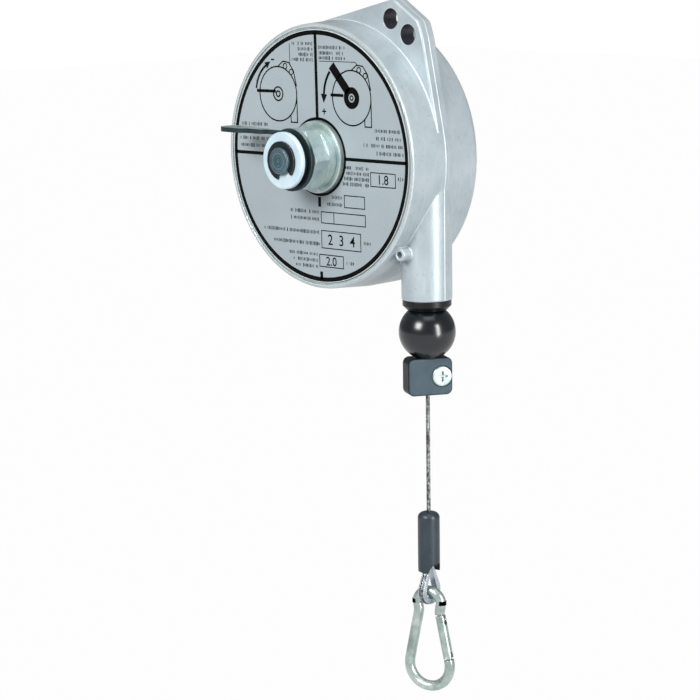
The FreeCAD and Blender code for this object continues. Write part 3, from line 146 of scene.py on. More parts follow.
class Finish:
    def __init__(self, name, **constants):
        self.material = bpy.data.materials.new(name)
        self.material.use_nodes = True
        self.tree = self.material.node_tree
        self.shader = self.tree.nodes["Principled BSDF"]
        for socket, value in constants.items():
            self.feed(self.shader.inputs[socket.replace("_", " ")], value)
        self.place = self.node("ShaderNodeTexCoord", output="Object")

    def feed(self, socket, value):
        if isinstance(value, Link):
            self.tree.links.new(value.socket, socket)
        elif socket.type == "RGBA" and len(value) == 3:
            socket.default_value = (*value, 1)
        else:
            socket.default_value = value

    def node(self, kind, settings=None, inputs=None, output=0):
        made = self.tree.nodes.new(kind)
        for name, setting in (settings or {}).items():
            if name == "stops":
                ramp = made.color_ramp
                while len(ramp.elements) < len(setting):
                    ramp.elements.new(0.5)
                for element, (position, shade) in zip(ramp.elements, setting):
                    element.position = position
                    element.color = (*shade, 1) if isinstance(shade, tuple) else (shade, shade, shade, 1)
            else:
                setattr(made, name, setting)
        for key, value in (inputs or {}).items():
            self.feed(made.inputs[key], value)
        return Link(self, made.outputs[output])

    def noise(self, scale, detail=3.0, rough=0.55, place=None):
        return self.node("ShaderNodeTexNoise", inputs={
            "Vector": place or self.place, "Scale": scale, "Detail": detail, "Roughness": rough,
        }, output="Fac")

    def ramp(self, factor, stops):
        return self.node("ShaderNodeValToRGB", {"stops": stops}, {"Fac": factor}, "Color")

    def level(self, factor, low, high):
        # 0 below low, 1 above high
        return self.node("ShaderNodeMapRange", {"clamp": True}, {
            "Value": factor, "From Min": low, "From Max": high, "To Min": 0.0, "To Max": 1.0})

    def mixed(self, factor, first, second, blend="MIX"):
        return self.node("ShaderNodeMix", {"data_type": "RGBA", "blend_type": blend}, {
            0: factor, 6: first, 7: second}, 2)

    def axis(self, name):
        return self.node("ShaderNodeSeparateXYZ", inputs={0: self.place}, output=name)

    def rounded(self, radius):
        return self.node("ShaderNodeBevel", {"samples": 6}, {"Radius": radius})

    def edges(self, radius, gain=3.0):
        # near 1 along the outer and inner edges, 0 on open faces
        flat = self.node("ShaderNodeNewGeometry", output="Normal")
        along = self.node("ShaderNodeVectorMath", {"operation": "DOT_PRODUCT"}, {
            0: self.rounded(radius), 1: flat}, "Value")
        return self.level((1 - along) * gain, 0.02, 1.0)

    def relief(self, height, depth, strength=1.0, radius=0.0):
        inputs = {"Height": height, "Distance": depth, "Strength": strength}
        if radius:
            inputs["Normal"] = self.rounded(radius)
        self.set(Normal=self.node("ShaderNodeBump", inputs=inputs))

    def set(self, **links):
        for socket, value in links.items():
            self.feed(self.shader.inputs[socket.replace("_", " ")], value)


def mountPlace(name):
    # a mount's place in the frame, in metres
    for mount in frame["record"]["mounts"]:
        if mount["name"] == name:
            return mount["pos_m"]


def srgb(red, green, blue):
    # eight-bit colour to the linear values that a shader takes
    return tuple((v / 12.92 if v <= 0.04045 else ((v + 0.055) / 1.055) ** 2.4)
                 for v in (red / 255, green / 255, blue / 255))


def castMetal():
    # blasted and lacquered aluminium: fine grain, clouds, edges brightened partly by wear and partly as a
    # painted highlight, a parting line, bores darkened with painted shade
    finish = Finish("castAluminium", Metallic=0.3, Specular_IOR_Level=0.5, Coat_Roughness=0.35)
    clouds = finish.level(finish.noise(34, 5, 0.6), 0.3, 0.7)
    grain = finish.noise(1500, 2, 0.6)
    speck = finish.level(finish.noise(420, 3, 0.7), 0.58, 0.72)
    base = finish.mixed(clouds, srgb(164, 177, 181), srgb(188, 199, 205))
    base = finish.mixed(speck * 0.4, base, srgb(128, 140, 141))
    streak = finish.node("ShaderNodeTexNoise", inputs={
        "Vector": finish.node("ShaderNodeMapping", inputs={"Vector": finish.place, "Scale": (60, 700, 60)}),
        "Scale": 1.0, "Detail": 3.0}, output="Fac")
    base = finish.mixed(finish.level(streak, 0.56, 0.72) * 0.25, base, srgb(214, 222, 224))
    # edges and the lug's inner junction painted near white: partly edge wear, partly a painted highlight
    # where rounded edges catch the light
    edgeWearAndHighlight = finish.edges(0.0013, 6.0)
    base = finish.mixed(edgeWearAndHighlight * 0.95, base, srgb(250, 252, 253))
    y = finish.axis("Y")
    line = 1 - finish.level(finish.node("ShaderNodeMath", {"operation": "ABSOLUTE"}, {
        0: y - (faceY + neckY * mm)}), 0.00012, 0.0004)
    base = finish.mixed(line * 0.8, base, srgb(240, 244, 246))
    # the insides of the bores painted dark: painted shade where light does not reach into the holes
    paintedBoreShade = None
    for name, radius in (("suspension_hole", 0.0057), ("safety_hole", 0.0057)):
        x, _, z = mountPlace(name)
        fromX, fromZ = finish.axis("X") - x, finish.axis("Z") - z
        inside = (fromX * fromX + fromZ * fromZ) ** 0.5 < radius
        paintedBoreShade = inside if paintedBoreShade is None else paintedBoreShade + inside
    base = finish.mixed(paintedBoreShade, base, srgb(66, 68, 80))
    finish.set(Base_Color=base, Roughness=0.34 - edgeWearAndHighlight * 0.1 + grain * 0.08)
    finish.relief(grain * 0.6 + finish.noise(330, 4, 0.65) + line * 1.5, 0.00010, 0.7, 0.0009)
    return finish.material


def leverMetal():
    # dark plated plate; its upward faces are painted pale as painted light from above, and its edges carry a
    # painted highlight
    finish = Finish("leverSteel", Metallic=0.55, Specular_IOR_Level=0.5)
    clouds = finish.noise(140, 4, 0.6)
    # faces that point up painted pale: painted light from above
    up = finish.node("ShaderNodeSeparateXYZ", inputs={
        0: finish.node("ShaderNodeNewGeometry", output="Normal")}, output="Z")
    base = finish.mixed(clouds, srgb(24, 38, 42), srgb(54, 72, 76))
    pale = finish.mixed(clouds, srgb(120, 140, 138), srgb(186, 200, 196))
    base = finish.mixed(finish.level(up, 0.4, 0.8), base, pale)
    # edges painted paler: painted highlight along the edges
    edge = finish.edges(0.0004)
    base = finish.mixed(edge * 0.35, base, srgb(176, 190, 190))
    finish.set(Base_Color=base, Roughness=0.3 + clouds * 0.15)
    finish.relief(finish.noise(900, 3, 0.6), 0.00004, 0.5, 0.0004)
    return finish.material


def foil():
    # label: satin foil with a fine print grain and a little hand grime
    finish = Finish("labelFoil", Metallic=0.15, Specular_IOR_Level=0.5)
    haze = finish.noise(24, 4, 0.6)
    fine = finish.noise(2600, 1, 0.5)
    base = finish.mixed(haze, srgb(154, 167, 172), srgb(174, 186, 191))
    base = finish.mixed(fine * 0.18, base, srgb(214, 221, 224))
    fromX, fromZ = finish.axis("X") - axleX, finish.axis("Z") - axleZ
    margin = (fromX * fromX + fromZ * fromZ) ** 0.5 > 0.0698
    base = finish.mixed(margin, base, srgb(210, 217, 220))
    finish.set(Base_Color=base, Roughness=0.42 + haze * 0.15)
    finish.relief(fine, 0.00002, 0.4, 0.0003)
    return finish.material


def turnedMetal(name, low, high, rough, metal, rings=0.0, edgeWearAndHighlight=0.5, radius=0.0004, tint=None):
    # machined or plated steel: turning marks about the axle, clouds, edges brightened partly by wear and
    # partly as a painted highlight
    finish = Finish(name, Metallic=metal, Specular_IOR_Level=0.5)
    clouds = finish.noise(120, 4, 0.6)
    base = finish.mixed(finish.level(clouds, 0.3, 0.7), srgb(*low), srgb(*high))
    if tint:
        patches = finish.level(finish.noise(75, 3, 0.6), 0.48, 0.66)
        base = finish.mixed(patches * 0.8, base, srgb(*tint))
    # edges painted pale: partly edge wear, partly a painted highlight along edges that catch the light
    edge = finish.edges(radius)
    base = finish.mixed(edge * edgeWearAndHighlight, base, srgb(238, 243, 245))
    roughness = rough + clouds * 0.14 - edge * 0.1
    height = finish.noise(900, 3, 0.6)
    if rings:
        centred = finish.node("ShaderNodeMapping", {"vector_type": "POINT"}, {
            "Vector": finish.place, "Location": (-axleX, 0, -axleZ)})
        x = finish.node("ShaderNodeSeparateXYZ", inputs={0: centred}, output="X")
        z = finish.node("ShaderNodeSeparateXYZ", inputs={0: centred}, output="Z")
        reach = (x * x + z * z) ** 0.5
        marks = finish.node("ShaderNodeTexNoise", {"noise_dimensions": "1D"}, {
            "W": reach * rings, "Scale": 1.0, "Detail": 4.0, "Roughness": 0.7}, "Fac")
        height = height * 0.3 + marks
        base = finish.mixed(finish.level(marks, 0.52, 0.7) * 0.5, base, srgb(225, 232, 236))
    finish.set(Base_Color=base, Roughness=roughness)
    finish.relief(height, 0.00004, 0.5, radius)
    return finish.material


def clampPlastic():
    # satin grey on the face that carries the screw and nearly black on the sides: painted light and painted
    # shade by facing, with a painted highlight on the edges
    finish = Finish("clampPlastic", Specular_IOR_Level=0.12)
    clouds = finish.noise(110, 4, 0.6)
    # faces turned towards the light painted grey, the others painted near black: painted light and painted
    # shade
    paintedLightFacing = finish.node("ShaderNodeVectorMath", {"operation": "DOT_PRODUCT"}, {
        0: finish.node("ShaderNodeNewGeometry", output="Normal"), 1: (0.883, -0.469, 0.0)}, "Value")
    base = finish.mixed(clouds, srgb(16, 20, 23), srgb(28, 35, 39))
    grey = finish.mixed(clouds, srgb(62, 76, 85), srgb(86, 102, 111))
    base = finish.mixed(finish.level(paintedLightFacing, 0.55, 0.9), base, grey)
    # edges painted pale: painted highlight along the rims
    edge = finish.edges(0.0006, 2.0)
    base = finish.mixed(edge * 0.4, base, srgb(150, 165, 172))
    finish.set(Base_Color=base, Roughness=0.36 + clouds * 0.12)
    finish.relief(finish.noise(1100, 2, 0.5), 0.00005, 0.5, 0.0006)
    return finish.material


def rubber(name, dark, pale, rough, grain, radius=0.0006, shine=0.35):
    # moulded black rubber or plastic: pebble grain, dust in the clouds, softer edges
    finish = Finish(name, Specular_IOR_Level=shine)
    dust = finish.noise(60, 5, 0.65)
    fine = finish.noise(grain, 2, 0.5)
    base = finish.mixed(finish.level(dust, 0.42, 0.78) * 0.6, srgb(*dark), srgb(*pale))
    edge = finish.edges(radius, 2.0)
    base = finish.mixed(edge * 0.25, base, srgb(80, 88, 92))
    finish.set(Base_Color=base, Roughness=rough + dust * 0.14)
    finish.relief(fine, 0.00005, 0.5, radius)
    return finish.material


def ropeSteel():
    # bright drawn wires with oil and dirt between the strands
    finish = Finish("wireRope", Metallic=0.85)
    grime = finish.noise(700, 3, 0.6)
    base = finish.mixed(finish.level(grime, 0.4, 0.65), srgb(70, 72, 72), srgb(178, 182, 180))
    finish.set(Base_Color=base, Roughness=0.34 + grime * 0.15)
    finish.relief(finish.noise(5000, 1), 0.00003, 0.4)
    return finish.material


def ink():
    finish = Finish("printInk", Specular_IOR_Level=0.08)
    fade = finish.noise(300, 3, 0.6)
    finish.set(Base_Color=finish.mixed(fade, srgb(1, 1, 2), srgb(7, 8, 9)), Roughness=0.55 + fade * 0.1)
    finish.relief(finish.noise(2600, 1), 0.00001, 0.3)
    return finish.material


materials = {
    "castAluminium": castMetal(),
    "labelFoil": foil(),
    "springSteel": turnedMetal("springSteel", (88, 92, 96), (140, 146, 150), 0.32, 0.9),
    "zincSteel": turnedMetal("zincSteel", (148, 172, 174), (200, 214, 214), 0.26, 0.6, 0, 0.9, 0.0005,
                             (190, 206, 196)),
    "brightSteel": turnedMetal("brightSteel", (176, 190, 196), (226, 233, 237), 0.26, 0.6, 1500, 0.9),
    # washer base raised close to white to brighten it against shade: painted light on top of the steel's own
    # tone
    "washerSteel": turnedMetal("washerSteel", (196, 224, 238), (226, 243, 250), 0.32, 0.2, 1300, 0.95,
                               0.0006),
    "axleSteel": turnedMetal("axleSteel", (36, 72, 84), (70, 102, 113), 0.34, 0.5, 1700, 0.95, 0.0006),
    "leverSteel": leverMetal(),
    "blackSteel": turnedMetal("blackSteel", (8, 12, 15), (30, 38, 43), 0.34, 0.5, 0, 0.25),
    "drumAluminium": turnedMetal("drumAluminium", (150, 156, 160), (190, 195, 198), 0.4, 0.8, 900),
    "bronze": turnedMetal("bronze", (130, 98, 58), (172, 134, 84), 0.36, 0.85, 1200),
    "blackPlastic": rubber("blackPlastic", (8, 9, 11), (22, 25, 28), 0.3, 1400),
    "blackRubber": rubber("blackRubber", (6, 7, 9), (20, 23, 26), 0.36, 900),
    "greyPlastic": rubber("greyPlastic", (62, 72, 80), (92, 104, 113), 0.4, 1100, 0.0008, 0.5),
    "ballPlastic": rubber("ballPlastic", (6, 13, 19), (18, 29, 36), 0.16, 900, 0.0006, 0.7),
    "sleeveRubber": rubber("sleeveRubber", (32, 46, 54), (57, 75, 84), 0.34, 900, 0.0008, 0.6),
    "clampPlastic": clampPlastic(),
    "wireRope": ropeSteel(),
    "ferruleAluminium": turnedMetal("ferruleAluminium", (150, 156, 160), (190, 195, 198), 0.42, 0.8),
    "thimbleZinc": turnedMetal("thimbleZinc", (158, 172, 184), (206, 216, 224), 0.3, 0.7),
    "hookZinc": turnedMetal("hookZinc", (136, 154, 148), (204, 216, 212), 0.26, 0.72, 0, 0.9),
    "printInk": ink(),
}
slotMaterials = {
    "cast_aluminium": "castAluminium", "spring_steel": "springSteel", "label_foil": "labelFoil",
    "zinc_steel": "zincSteel", "bright_steel": "brightSteel", "black_steel": "blackSteel",
    "black_plastic": "blackPlastic", "drum_aluminium": "drumAluminium", "bronze": "bronze",
    "wire_rope": "wireRope", "black_rubber": "blackRubber", "grey_plastic": "greyPlastic",
    "ferrule_aluminium": "ferruleAluminium", "thimble_zinc": "thimbleZinc", "hook_zinc": "hookZinc",
}


def paint(piece, material):
    piece.data.materials.clear()
    piece.data.materials.append(materials[material])


print("materials made:", len(materials))


# ---- helpers for Geometry Nodes

class Steps:
    # a Geometry Nodes tree with named inputs and one method for any node
    def __init__(self, name, **sizes):
        self.tree = bpy.data.node_groups.new(name, "GeometryNodeTree")
        self.tree.interface.new_socket("Geometry", in_out="INPUT", socket_type="NodeSocketGeometry")
        self.tree.interface.new_socket("Geometry", in_out="OUTPUT", socket_type="NodeSocketGeometry")
        self.sizes = sizes
        self.identifiers = {}
        for size, value in sizes.items():
            kind = "NodeSocketInt" if isinstance(value, int) else "NodeSocketFloat"
            socket = self.tree.interface.new_socket(size, in_out="INPUT", socket_type=kind)
            self.identifiers[size] = socket.identifier
        self.entry = self.tree.nodes.new("NodeGroupInput")
        self.exit = self.tree.nodes.new("NodeGroupOutput")

    def size(self, name):
        return self.entry.outputs[name]

    def node(self, kind, inputs=None, output=0, **settings):
        made = self.tree.nodes.new(kind)
        for name, setting in settings.items():
            setattr(made, name, setting)
        for key, value in (inputs or {}).items():
            if isinstance(value, bpy.types.NodeSocket):
                self.tree.links.new(value, made.inputs[key])
            else:
                made.inputs[key].default_value = value
        return made.outputs[output]

    def maths(self, operation, first, second=0.0):
        return self.node("ShaderNodeMath", {0: first, 1: second}, operation=operation)

    def vector(self, operation, first, second, scale=None):
        inputs = {0: first} if second is None else {0: first, 1: second}
        if scale is not None:
            inputs["Scale"] = scale
        return self.node("ShaderNodeVectorMath", inputs, operation=operation)

    def close(self, geometry, material):
        # real geometry with its material, ready to be made a plain mesh
        real = self.node("GeometryNodeRealizeInstances", {0: geometry})
        done = self.node("GeometryNodeSetMaterial", {"Geometry": real, "Material": materials[material]})
        self.tree.links.new(done, self.exit.inputs[0])

    def run(self, name, start):
        # start is the object that the tree works on; it is removed once its result is a mesh
        bpy.context.scene.collection.objects.link(start)
        modifier = start.modifiers.new(self.tree.name, "NODES")
        modifier.node_group = self.tree
        for size, value in self.sizes.items():
            modifier[self.identifiers[size]] = value
        start.update_tag()
        graph = bpy.context.evaluated_depsgraph_get()
        mesh = bpy.data.meshes.new_from_object(start.evaluated_get(graph), depsgraph=graph)
        start.modifiers.remove(modifier)
        bpy.data.objects.remove(start)
        return asPiece(name, mesh)


def asPiece(name, mesh):
    mesh.name = name
    piece = bpy.data.objects.new(name, mesh)
    bpy.context.scene.collection.objects.link(piece)
    return piece


def smooth(piece, degrees=35):
    # soft shading except across sharp edges
    mesh = piece.data
    mesh.polygons.foreach_set("use_smooth", [True] * len(mesh.polygons))
    mesh.set_sharp_from_angle(angle=math.radians(degrees))
    return piece


def lineObject(name, runs, closed=False):
    # a curve of straight runs through points in scene metres
    curve = bpy.data.curves.new(name, "CURVE")
    curve.dimensions = "3D"
    for points in runs:
        spline = curve.splines.new("POLY")
        spline.points.add(len(points) - 1)
        for target, point in zip(spline.points, points):
            target.co = (*point, 1)
        spline.use_cyclic_u = closed
    return bpy.data.objects.new(name, curve)


def routeObject(name, points):
    # the smooth line of a cable: its points are a NURBS spline's control points
    curve = bpy.data.curves.new(name, "CURVE")
    curve.dimensions = "3D"
    spline = curve.splines.new("NURBS")
    spline.points.add(len(points) - 1)
    for target, point in zip(spline.points, points):
        target.co = (*point, 1)
    spline.order_u = 3
    spline.use_endpoint_u = True
    spline.resolution_u = 12
    return bpy.data.objects.new(name, curve)


def routePoints(name, points):
    route = routeObject(name, points)
    bpy.context.scene.collection.objects.link(route)
    graph = bpy.context.evaluated_depsgraph_get()
    mesh = bpy.data.meshes.new_from_object(route.evaluated_get(graph), depsgraph=graph)
    found = [vertex.co.copy() for vertex in mesh.vertices]
    bpy.data.objects.remove(route)
    bpy.data.meshes.remove(mesh)
    return found


# ---- wire rope: six strands laid round a core

rope = {
    "strandCount": 6, "strandRadius": 0.39 * mm, "layRadius": 0.785 * mm, "pitch": 8.0 * mm,
    "coreRadius": 0.55 * mm, "step": 0.55 * mm, "strandSides": 9, "coreSides": 8,
}


def ropeSteps(material):
    steps = Steps("laidRope", Strands=rope["strandCount"], StrandRadius=rope["strandRadius"],
                  LayRadius=rope["layRadius"], Pitch=rope["pitch"], CoreRadius=rope["coreRadius"],
                  Step=rope["step"])
    even = steps.node("GeometryNodeResampleCurve", {
        "Curve": steps.entry.outputs[0], "Length": steps.size("Step")}, mode="LENGTH")
    even = steps.node("GeometryNodeSetCurveNormal", {0: even}, mode="MINIMUM_TWIST")
    doubled = steps.tree.nodes.new("GeometryNodeDuplicateElements")
    doubled.domain = "SPLINE"
    steps.tree.links.new(even, doubled.inputs["Geometry"])
    steps.tree.links.new(steps.size("Strands"), doubled.inputs["Amount"])
    share = steps.maths("DIVIDE", doubled.outputs["Duplicate Index"], steps.size("Strands"))
    length = steps.node("GeometryNodeSplineParameter", output="Length")
    turns = steps.maths("ADD", steps.maths("DIVIDE", length, steps.size("Pitch")), share)
    angle = steps.maths("MULTIPLY", turns, 2 * math.pi)
    normal = steps.node("GeometryNodeInputNormal")
    tangent = steps.node("GeometryNodeInputTangent")
    side = steps.vector("CROSS_PRODUCT", tangent, normal)
    cosine = steps.maths("MULTIPLY", steps.maths("COSINE", angle), steps.size("LayRadius"))
    sine = steps.maths("MULTIPLY", steps.maths("SINE", angle), steps.size("LayRadius"))
    offset = steps.vector("ADD", steps.vector("SCALE", normal, None, cosine),
                          steps.vector("SCALE", side, None, sine))
    laid = steps.node("GeometryNodeSetPosition", {"Geometry": doubled.outputs["Geometry"], "Offset": offset})
    strandRing = steps.node("GeometryNodeCurvePrimitiveCircle", {
        "Resolution": rope["strandSides"], "Radius": steps.size("StrandRadius")})
    strands = steps.node("GeometryNodeCurveToMesh", {
        "Curve": laid, "Profile Curve": strandRing, "Fill Caps": True})
    coreRing = steps.node("GeometryNodeCurvePrimitiveCircle", {
        "Resolution": rope["coreSides"], "Radius": steps.size("CoreRadius")})
    core = steps.node("GeometryNodeCurveToMesh", {
        "Curve": even, "Profile Curve": coreRing, "Fill Caps": True})
    joined = steps.tree.nodes.new("GeometryNodeJoinGeometry")
    steps.tree.links.new(strands, joined.inputs[0])
    steps.tree.links.new(core, joined.inputs[0])
    steps.close(joined.outputs[0], material)
    return steps


tailLow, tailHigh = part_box("cable_tail")
tail = {
    "top": (tailHigh.z - axleZ) / mm, "bottom": (tailLow.z - axleZ) / mm, "diameter": 2.35 * mm,
}
tailRoute = [at(neckX, neckY, tail["top"]), at(neckX, neckY, (tail["top"] + tail["bottom"]) / 2),
             at(neckX, neckY, tail["bottom"])]
tailPath = routePoints("tailLine", tailRoute)
tailRope = smooth(ropeSteps("wireRope").run("tailRope", lineObject("tailRun", [tailPath])), 60)
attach(tailRope, "cable_end")
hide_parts("cable_tail")

innerLow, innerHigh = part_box("cable_in_neck")
innerPoints = [Vector((tailRoute[0].x, tailRoute[0].y, height)) for height in (innerHigh.z, innerLow.z)]
neckRope = smooth(ropeSteps("wireRope").run("neckRope", lineObject("neckRun", [innerPoints])), 60)
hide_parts("cable_in_neck")
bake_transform(neckRope)
print("wire rope laid")


# ---- label print: flat bands, outlines and small marks, a hair proud of the foil

def closedPrism(mesh, front, back):
    # joins two like outlines into a closed slab; front and back are lists of points
    frontPoints = [mesh.verts.new(point) for point in front]
    backPoints = [mesh.verts.new(point) for point in back]
    count = len(front)
    mesh.faces.new(frontPoints)
    mesh.faces.new(list(reversed(backPoints)))
    for k in range(count):
        n = (k + 1) % count
        mesh.faces.new((frontPoints[k], backPoints[k], backPoints[n], frontPoints[n]))


printInk = {"proud": -0.03, "sunk": 0.03}


def band(mesh, points, width, closed=False):
    # a printed line of even width through points on the label
    count = len(points)
    left, right = [], []
    for k, (x, z) in enumerate(points):
        before = points[k - 1] if closed or k else points[k]
        after = points[(k + 1) % count] if closed or k < count - 1 else points[k]
        here = Vector((x, z))
        ahead = (Vector(after) - here).normalized()
        inward = (here - Vector(before)).normalized() if before != points[k] else ahead
        onward = ahead if after != points[k] else inward
        tangent = (inward + onward).normalized()
        miter = Vector((-tangent.y, tangent.x)) * (width / 2 / max(0.35, tangent.dot(inward)))
        left.append(here + miter)
        right.append(here - miter)
    last = count if closed else count - 1
    rows = []
    for point in (left, right):
        for depth in (printInk["proud"], printInk["sunk"]):
            rows.append([mesh.verts.new(at(p.x, depth, p.y)) for p in point])
    leftFront, leftBack, rightFront, rightBack = rows
    for k in range(last):
        n = (k + 1) % count
        mesh.faces.new((leftFront[k], leftFront[n], rightFront[n], rightFront[k]))
        mesh.faces.new((rightBack[k], rightBack[n], leftBack[n], leftBack[k]))
        mesh.faces.new((leftBack[k], leftBack[n], leftFront[n], leftFront[k]))
        mesh.faces.new((rightFront[k], rightFront[n], rightBack[n], rightBack[k]))
    if not closed:
        mesh.faces.new((leftFront[0], rightFront[0], rightBack[0], leftBack[0]))
        mesh.faces.new((leftBack[-1], rightBack[-1], rightFront[-1], leftFront[-1]))


def patch(mesh, points):
    closedPrism(mesh, [at(x, printInk["proud"], z) for x, z in points],
                [at(x, printInk["sunk"], z) for x, z in points])


def arcPoints(x, z, radius, start, end, count):
    turns = [math.radians(start + (end - start) * k / (count - 1)) for k in range(count)]
    return [(x + radius * math.cos(turn), z + radius * math.sin(turn)) for turn in turns]


def ringPoints(x, z, radius, count=64):
    return arcPoints(x, z, radius, 0, 360 - 360 / count, count)


def arrowArc(mesh, x, z, radius, start, end, width, headLength, headWidth):
    # a curved arrow: its head is at the end angle
    band(mesh, arcPoints(x, z, radius, start, end, 24), width)
    turn = math.radians(end)
    way = 1 if end > start else -1
    tip = Vector((x + radius * math.cos(turn), z + radius * math.sin(turn)))
    onward = Vector((-math.sin(turn), math.cos(turn))) * way
    across = Vector((math.cos(turn), math.sin(turn)))
    patch(mesh, [tuple(tip + onward * headLength), tuple(tip + across * headWidth / 2),
                 tuple(tip - across * headWidth / 2)])


def housingSign(mesh, x, z, size, thick):
    # outline of a round housing with its ear and neck
    band(mesh, ringPoints(x, z, size), thick, closed=True)
    band(mesh, [(x + size * 0.02, z + size), (x + size * 0.3, z + size * 1.2),
                (x + size * 0.62, z + size * 1.16), (x + size * 0.86, z + size * 0.86),
                (x + size, z + size * 0.3)], thick * 0.9)
    for angle in (68, 48):
        ear = (x + size * 1.1 * math.cos(math.radians(angle)), z + size * 1.1 * math.sin(math.radians(angle)))
        band(mesh, ringPoints(*ear, size * 0.1, 14), thick * 0.8, closed=True)
    band(mesh, [(x + size, z - size * 0.05), (x + size, z - size * 1.02), (x + size * 0.66, z - size * 1.02),
                (x + size * 0.66, z - size * 0.74)], thick * 0.9)


labelLayout = {
    "outerRing": 68.5, "outerWidth": 2.45, "innerRing": 21.1, "innerWidth": 1.6, "barWidth": 1.9,
    "upright": 2.2, "stubs": ((-22.0, -27.5), (-63.8, -68.4)), "thin": 0.55,
    "boxes": ((40.9, -6.3, 59.8, -13.8), (19.8, -20.1, 35.7, -26.7), (1.0, -30.2, 36.0, -36.4),
              (0.9, -40.7, 31.9, -50.4), (-1.2, -54.2, 17.8, -60.9)),
    "divider": 11.1,
    "leftSign": (-31.3, 34.1, 15.2), "rightSign": (27.6, 33.6, 15.0),
    "signLine": 0.8, "fineLine": 0.4, "hand": 1.7,
    "minus": ((-5.2, 19.0), (-2.4, 19.0)),  # from the left sign's centre
    "plus": (((4.0, 25.6), (7.4, 25.6)), ((5.7, 23.9), (5.7, 27.3))),
    "leftFine": ((-21.0, 62.4), (-21.0, 51.1)), "rightFine": ((2.8, 53.1), (31.0, 53.1), (32.7, 51.7)),
    "rise": 0.014, "lean": 0.019, "drop": 0.29, "left": 0.17,
}


def layAskew(vertices):
    # the print sits a little askew on the cover
    for vertex in vertices:
        right, up = vertex.co.x - axleX, vertex.co.z - axleZ
        vertex.co.x -= labelLayout["lean"] * up + labelLayout["left"] * mm
        vertex.co.z += labelLayout["rise"] * right - labelLayout["drop"] * mm


def makeLabelPrint(layout):
    import bmesh
    mesh = bmesh.new()
    thin = layout["thin"]
    inner, outer = layout["innerRing"], layout["outerRing"]
    band(mesh, [(0, inner), (0, outer)], layout["upright"])
    for high, low in layout["stubs"]:
        band(mesh, [(0, high), (0, low)], layout["upright"])
    band(mesh, [(inner, 0), (outer, 0)], layout["barWidth"])
    band(mesh, [(-outer, 0), (-inner, 0)], layout["barWidth"])
    for x0, z0, x1, z1 in layout["boxes"]:
        band(mesh, [(x0, z0), (x1, z0), (x1, z1), (x0, z1)], thin, closed=True)
    divider = layout["boxes"][2]
    band(mesh, [(layout["divider"], divider[1]), (layout["divider"], divider[3])], thin)

    x, z, size = layout["leftSign"]
    housingSign(mesh, x, z, size, layout["signLine"])
    band(mesh, ringPoints(x, z, size * 0.25, 28), 0.9, closed=True)
    band(mesh, ringPoints(x, z, size * 0.1, 20), 0.9, closed=True)
    band(mesh, [(x - size * 0.12, z + 1.3), (x - size * 1.16, z + 1.3)], layout["hand"])
    arrowArc(mesh, x, z, size * 1.2, 172, 122, 1.3, 4.6, 4.2)
    band(mesh, [(x + right, z + up) for right, up in layout["minus"]], layout["signLine"])
    band(mesh, list(layout["leftFine"]), layout["fineLine"])

    x, z, size = layout["rightSign"]
    housingSign(mesh, x, z, size, layout["signLine"])
    band(mesh, ringPoints(x, z, size * 0.28, 32), size * 0.24, closed=True)
    band(mesh, ringPoints(x, z, size * 0.08, 20), 0.8, closed=True)
    band(mesh, [(x - 2.6, z + 3.2), (x - 15.4, z + 17.4)], 5.2)
    band(mesh, [(x - size * 0.42, z + 1.2), (x - size * 1.1, z + 1.2)], layout["hand"])
    arrowArc(mesh, x, z, size * 1.45, 140, 176, 1.6, 5.0, 5.0)
    for stroke in layout["plus"]:
        band(mesh, list(stroke), layout["signLine"])
    band(mesh, list(layout["rightFine"]), layout["fineLine"])
    layAskew(mesh.verts)
    band(mesh, ringPoints(0, 0, outer, 180), layout["outerWidth"], closed=True)
    band(mesh, ringPoints(0, 0, inner, 96), layout["innerWidth"], closed=True)
    bmesh.ops.recalc_face_normals(mesh, faces=mesh.faces)
    made = bpy.data.meshes.new("labelPrint")
    mesh.to_mesh(made)
    mesh.free()
    return asPiece("labelPrint", made)


labelPrint = makeLabelPrint(labelLayout)
paint(labelPrint, "printInk")
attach(labelPrint, "casing")

# rows of small marks where a label has lines of words, each row as (left, right, height)
markRows = {
    "rows": ((-19.3, -2.8, 62.5), (-14.4, -2.8, 59.5), (-13.9, -2.8, 56.5), (-19.7, -2.8, 53.6),
             (2.3, 22.7, 60.7), (2.3, 21.3, 57.6), (2.3, 22.7, 54.9),
             (44.6, 63.4, 16.5), (44.4, 64.4, 12.4), (34.6, 65.4, 8.4), (43.4, 66.0, 4.3),
             (-62.8, -41.4, 16.5), (-63.6, -41.6, 12.4), (-64.4, -40.6, 8.4), (-65.0, -40.0, 4.3),
             (20.0, 39.0, -4.6), (20.6, 39.0, -7.6), (20.0, 39.0, -10.6), (18.8, 39.0, -13.6),
             (8.4, 17.6, -21.6), (6.0, 17.6, -25.6),
             (-24.0, -1.2, -30.6), (-24.0, -1.2, -34.6),
             (-46.4, -1.4, -42.0), (-42.0, -1.4, -48.4),
             (-26.0, -3.0, -54.4), (-24.0, -3.0, -57.8), (-21.0, -3.0, -61.2),
             (61.6, 65.4, -8.8), (34.0, 39.4, -45.6), (20.0, 25.6, -57.6)),
    "height": 2.3, "pitch": 1.15, "indent": 0.6, "depth": -0.005,
}


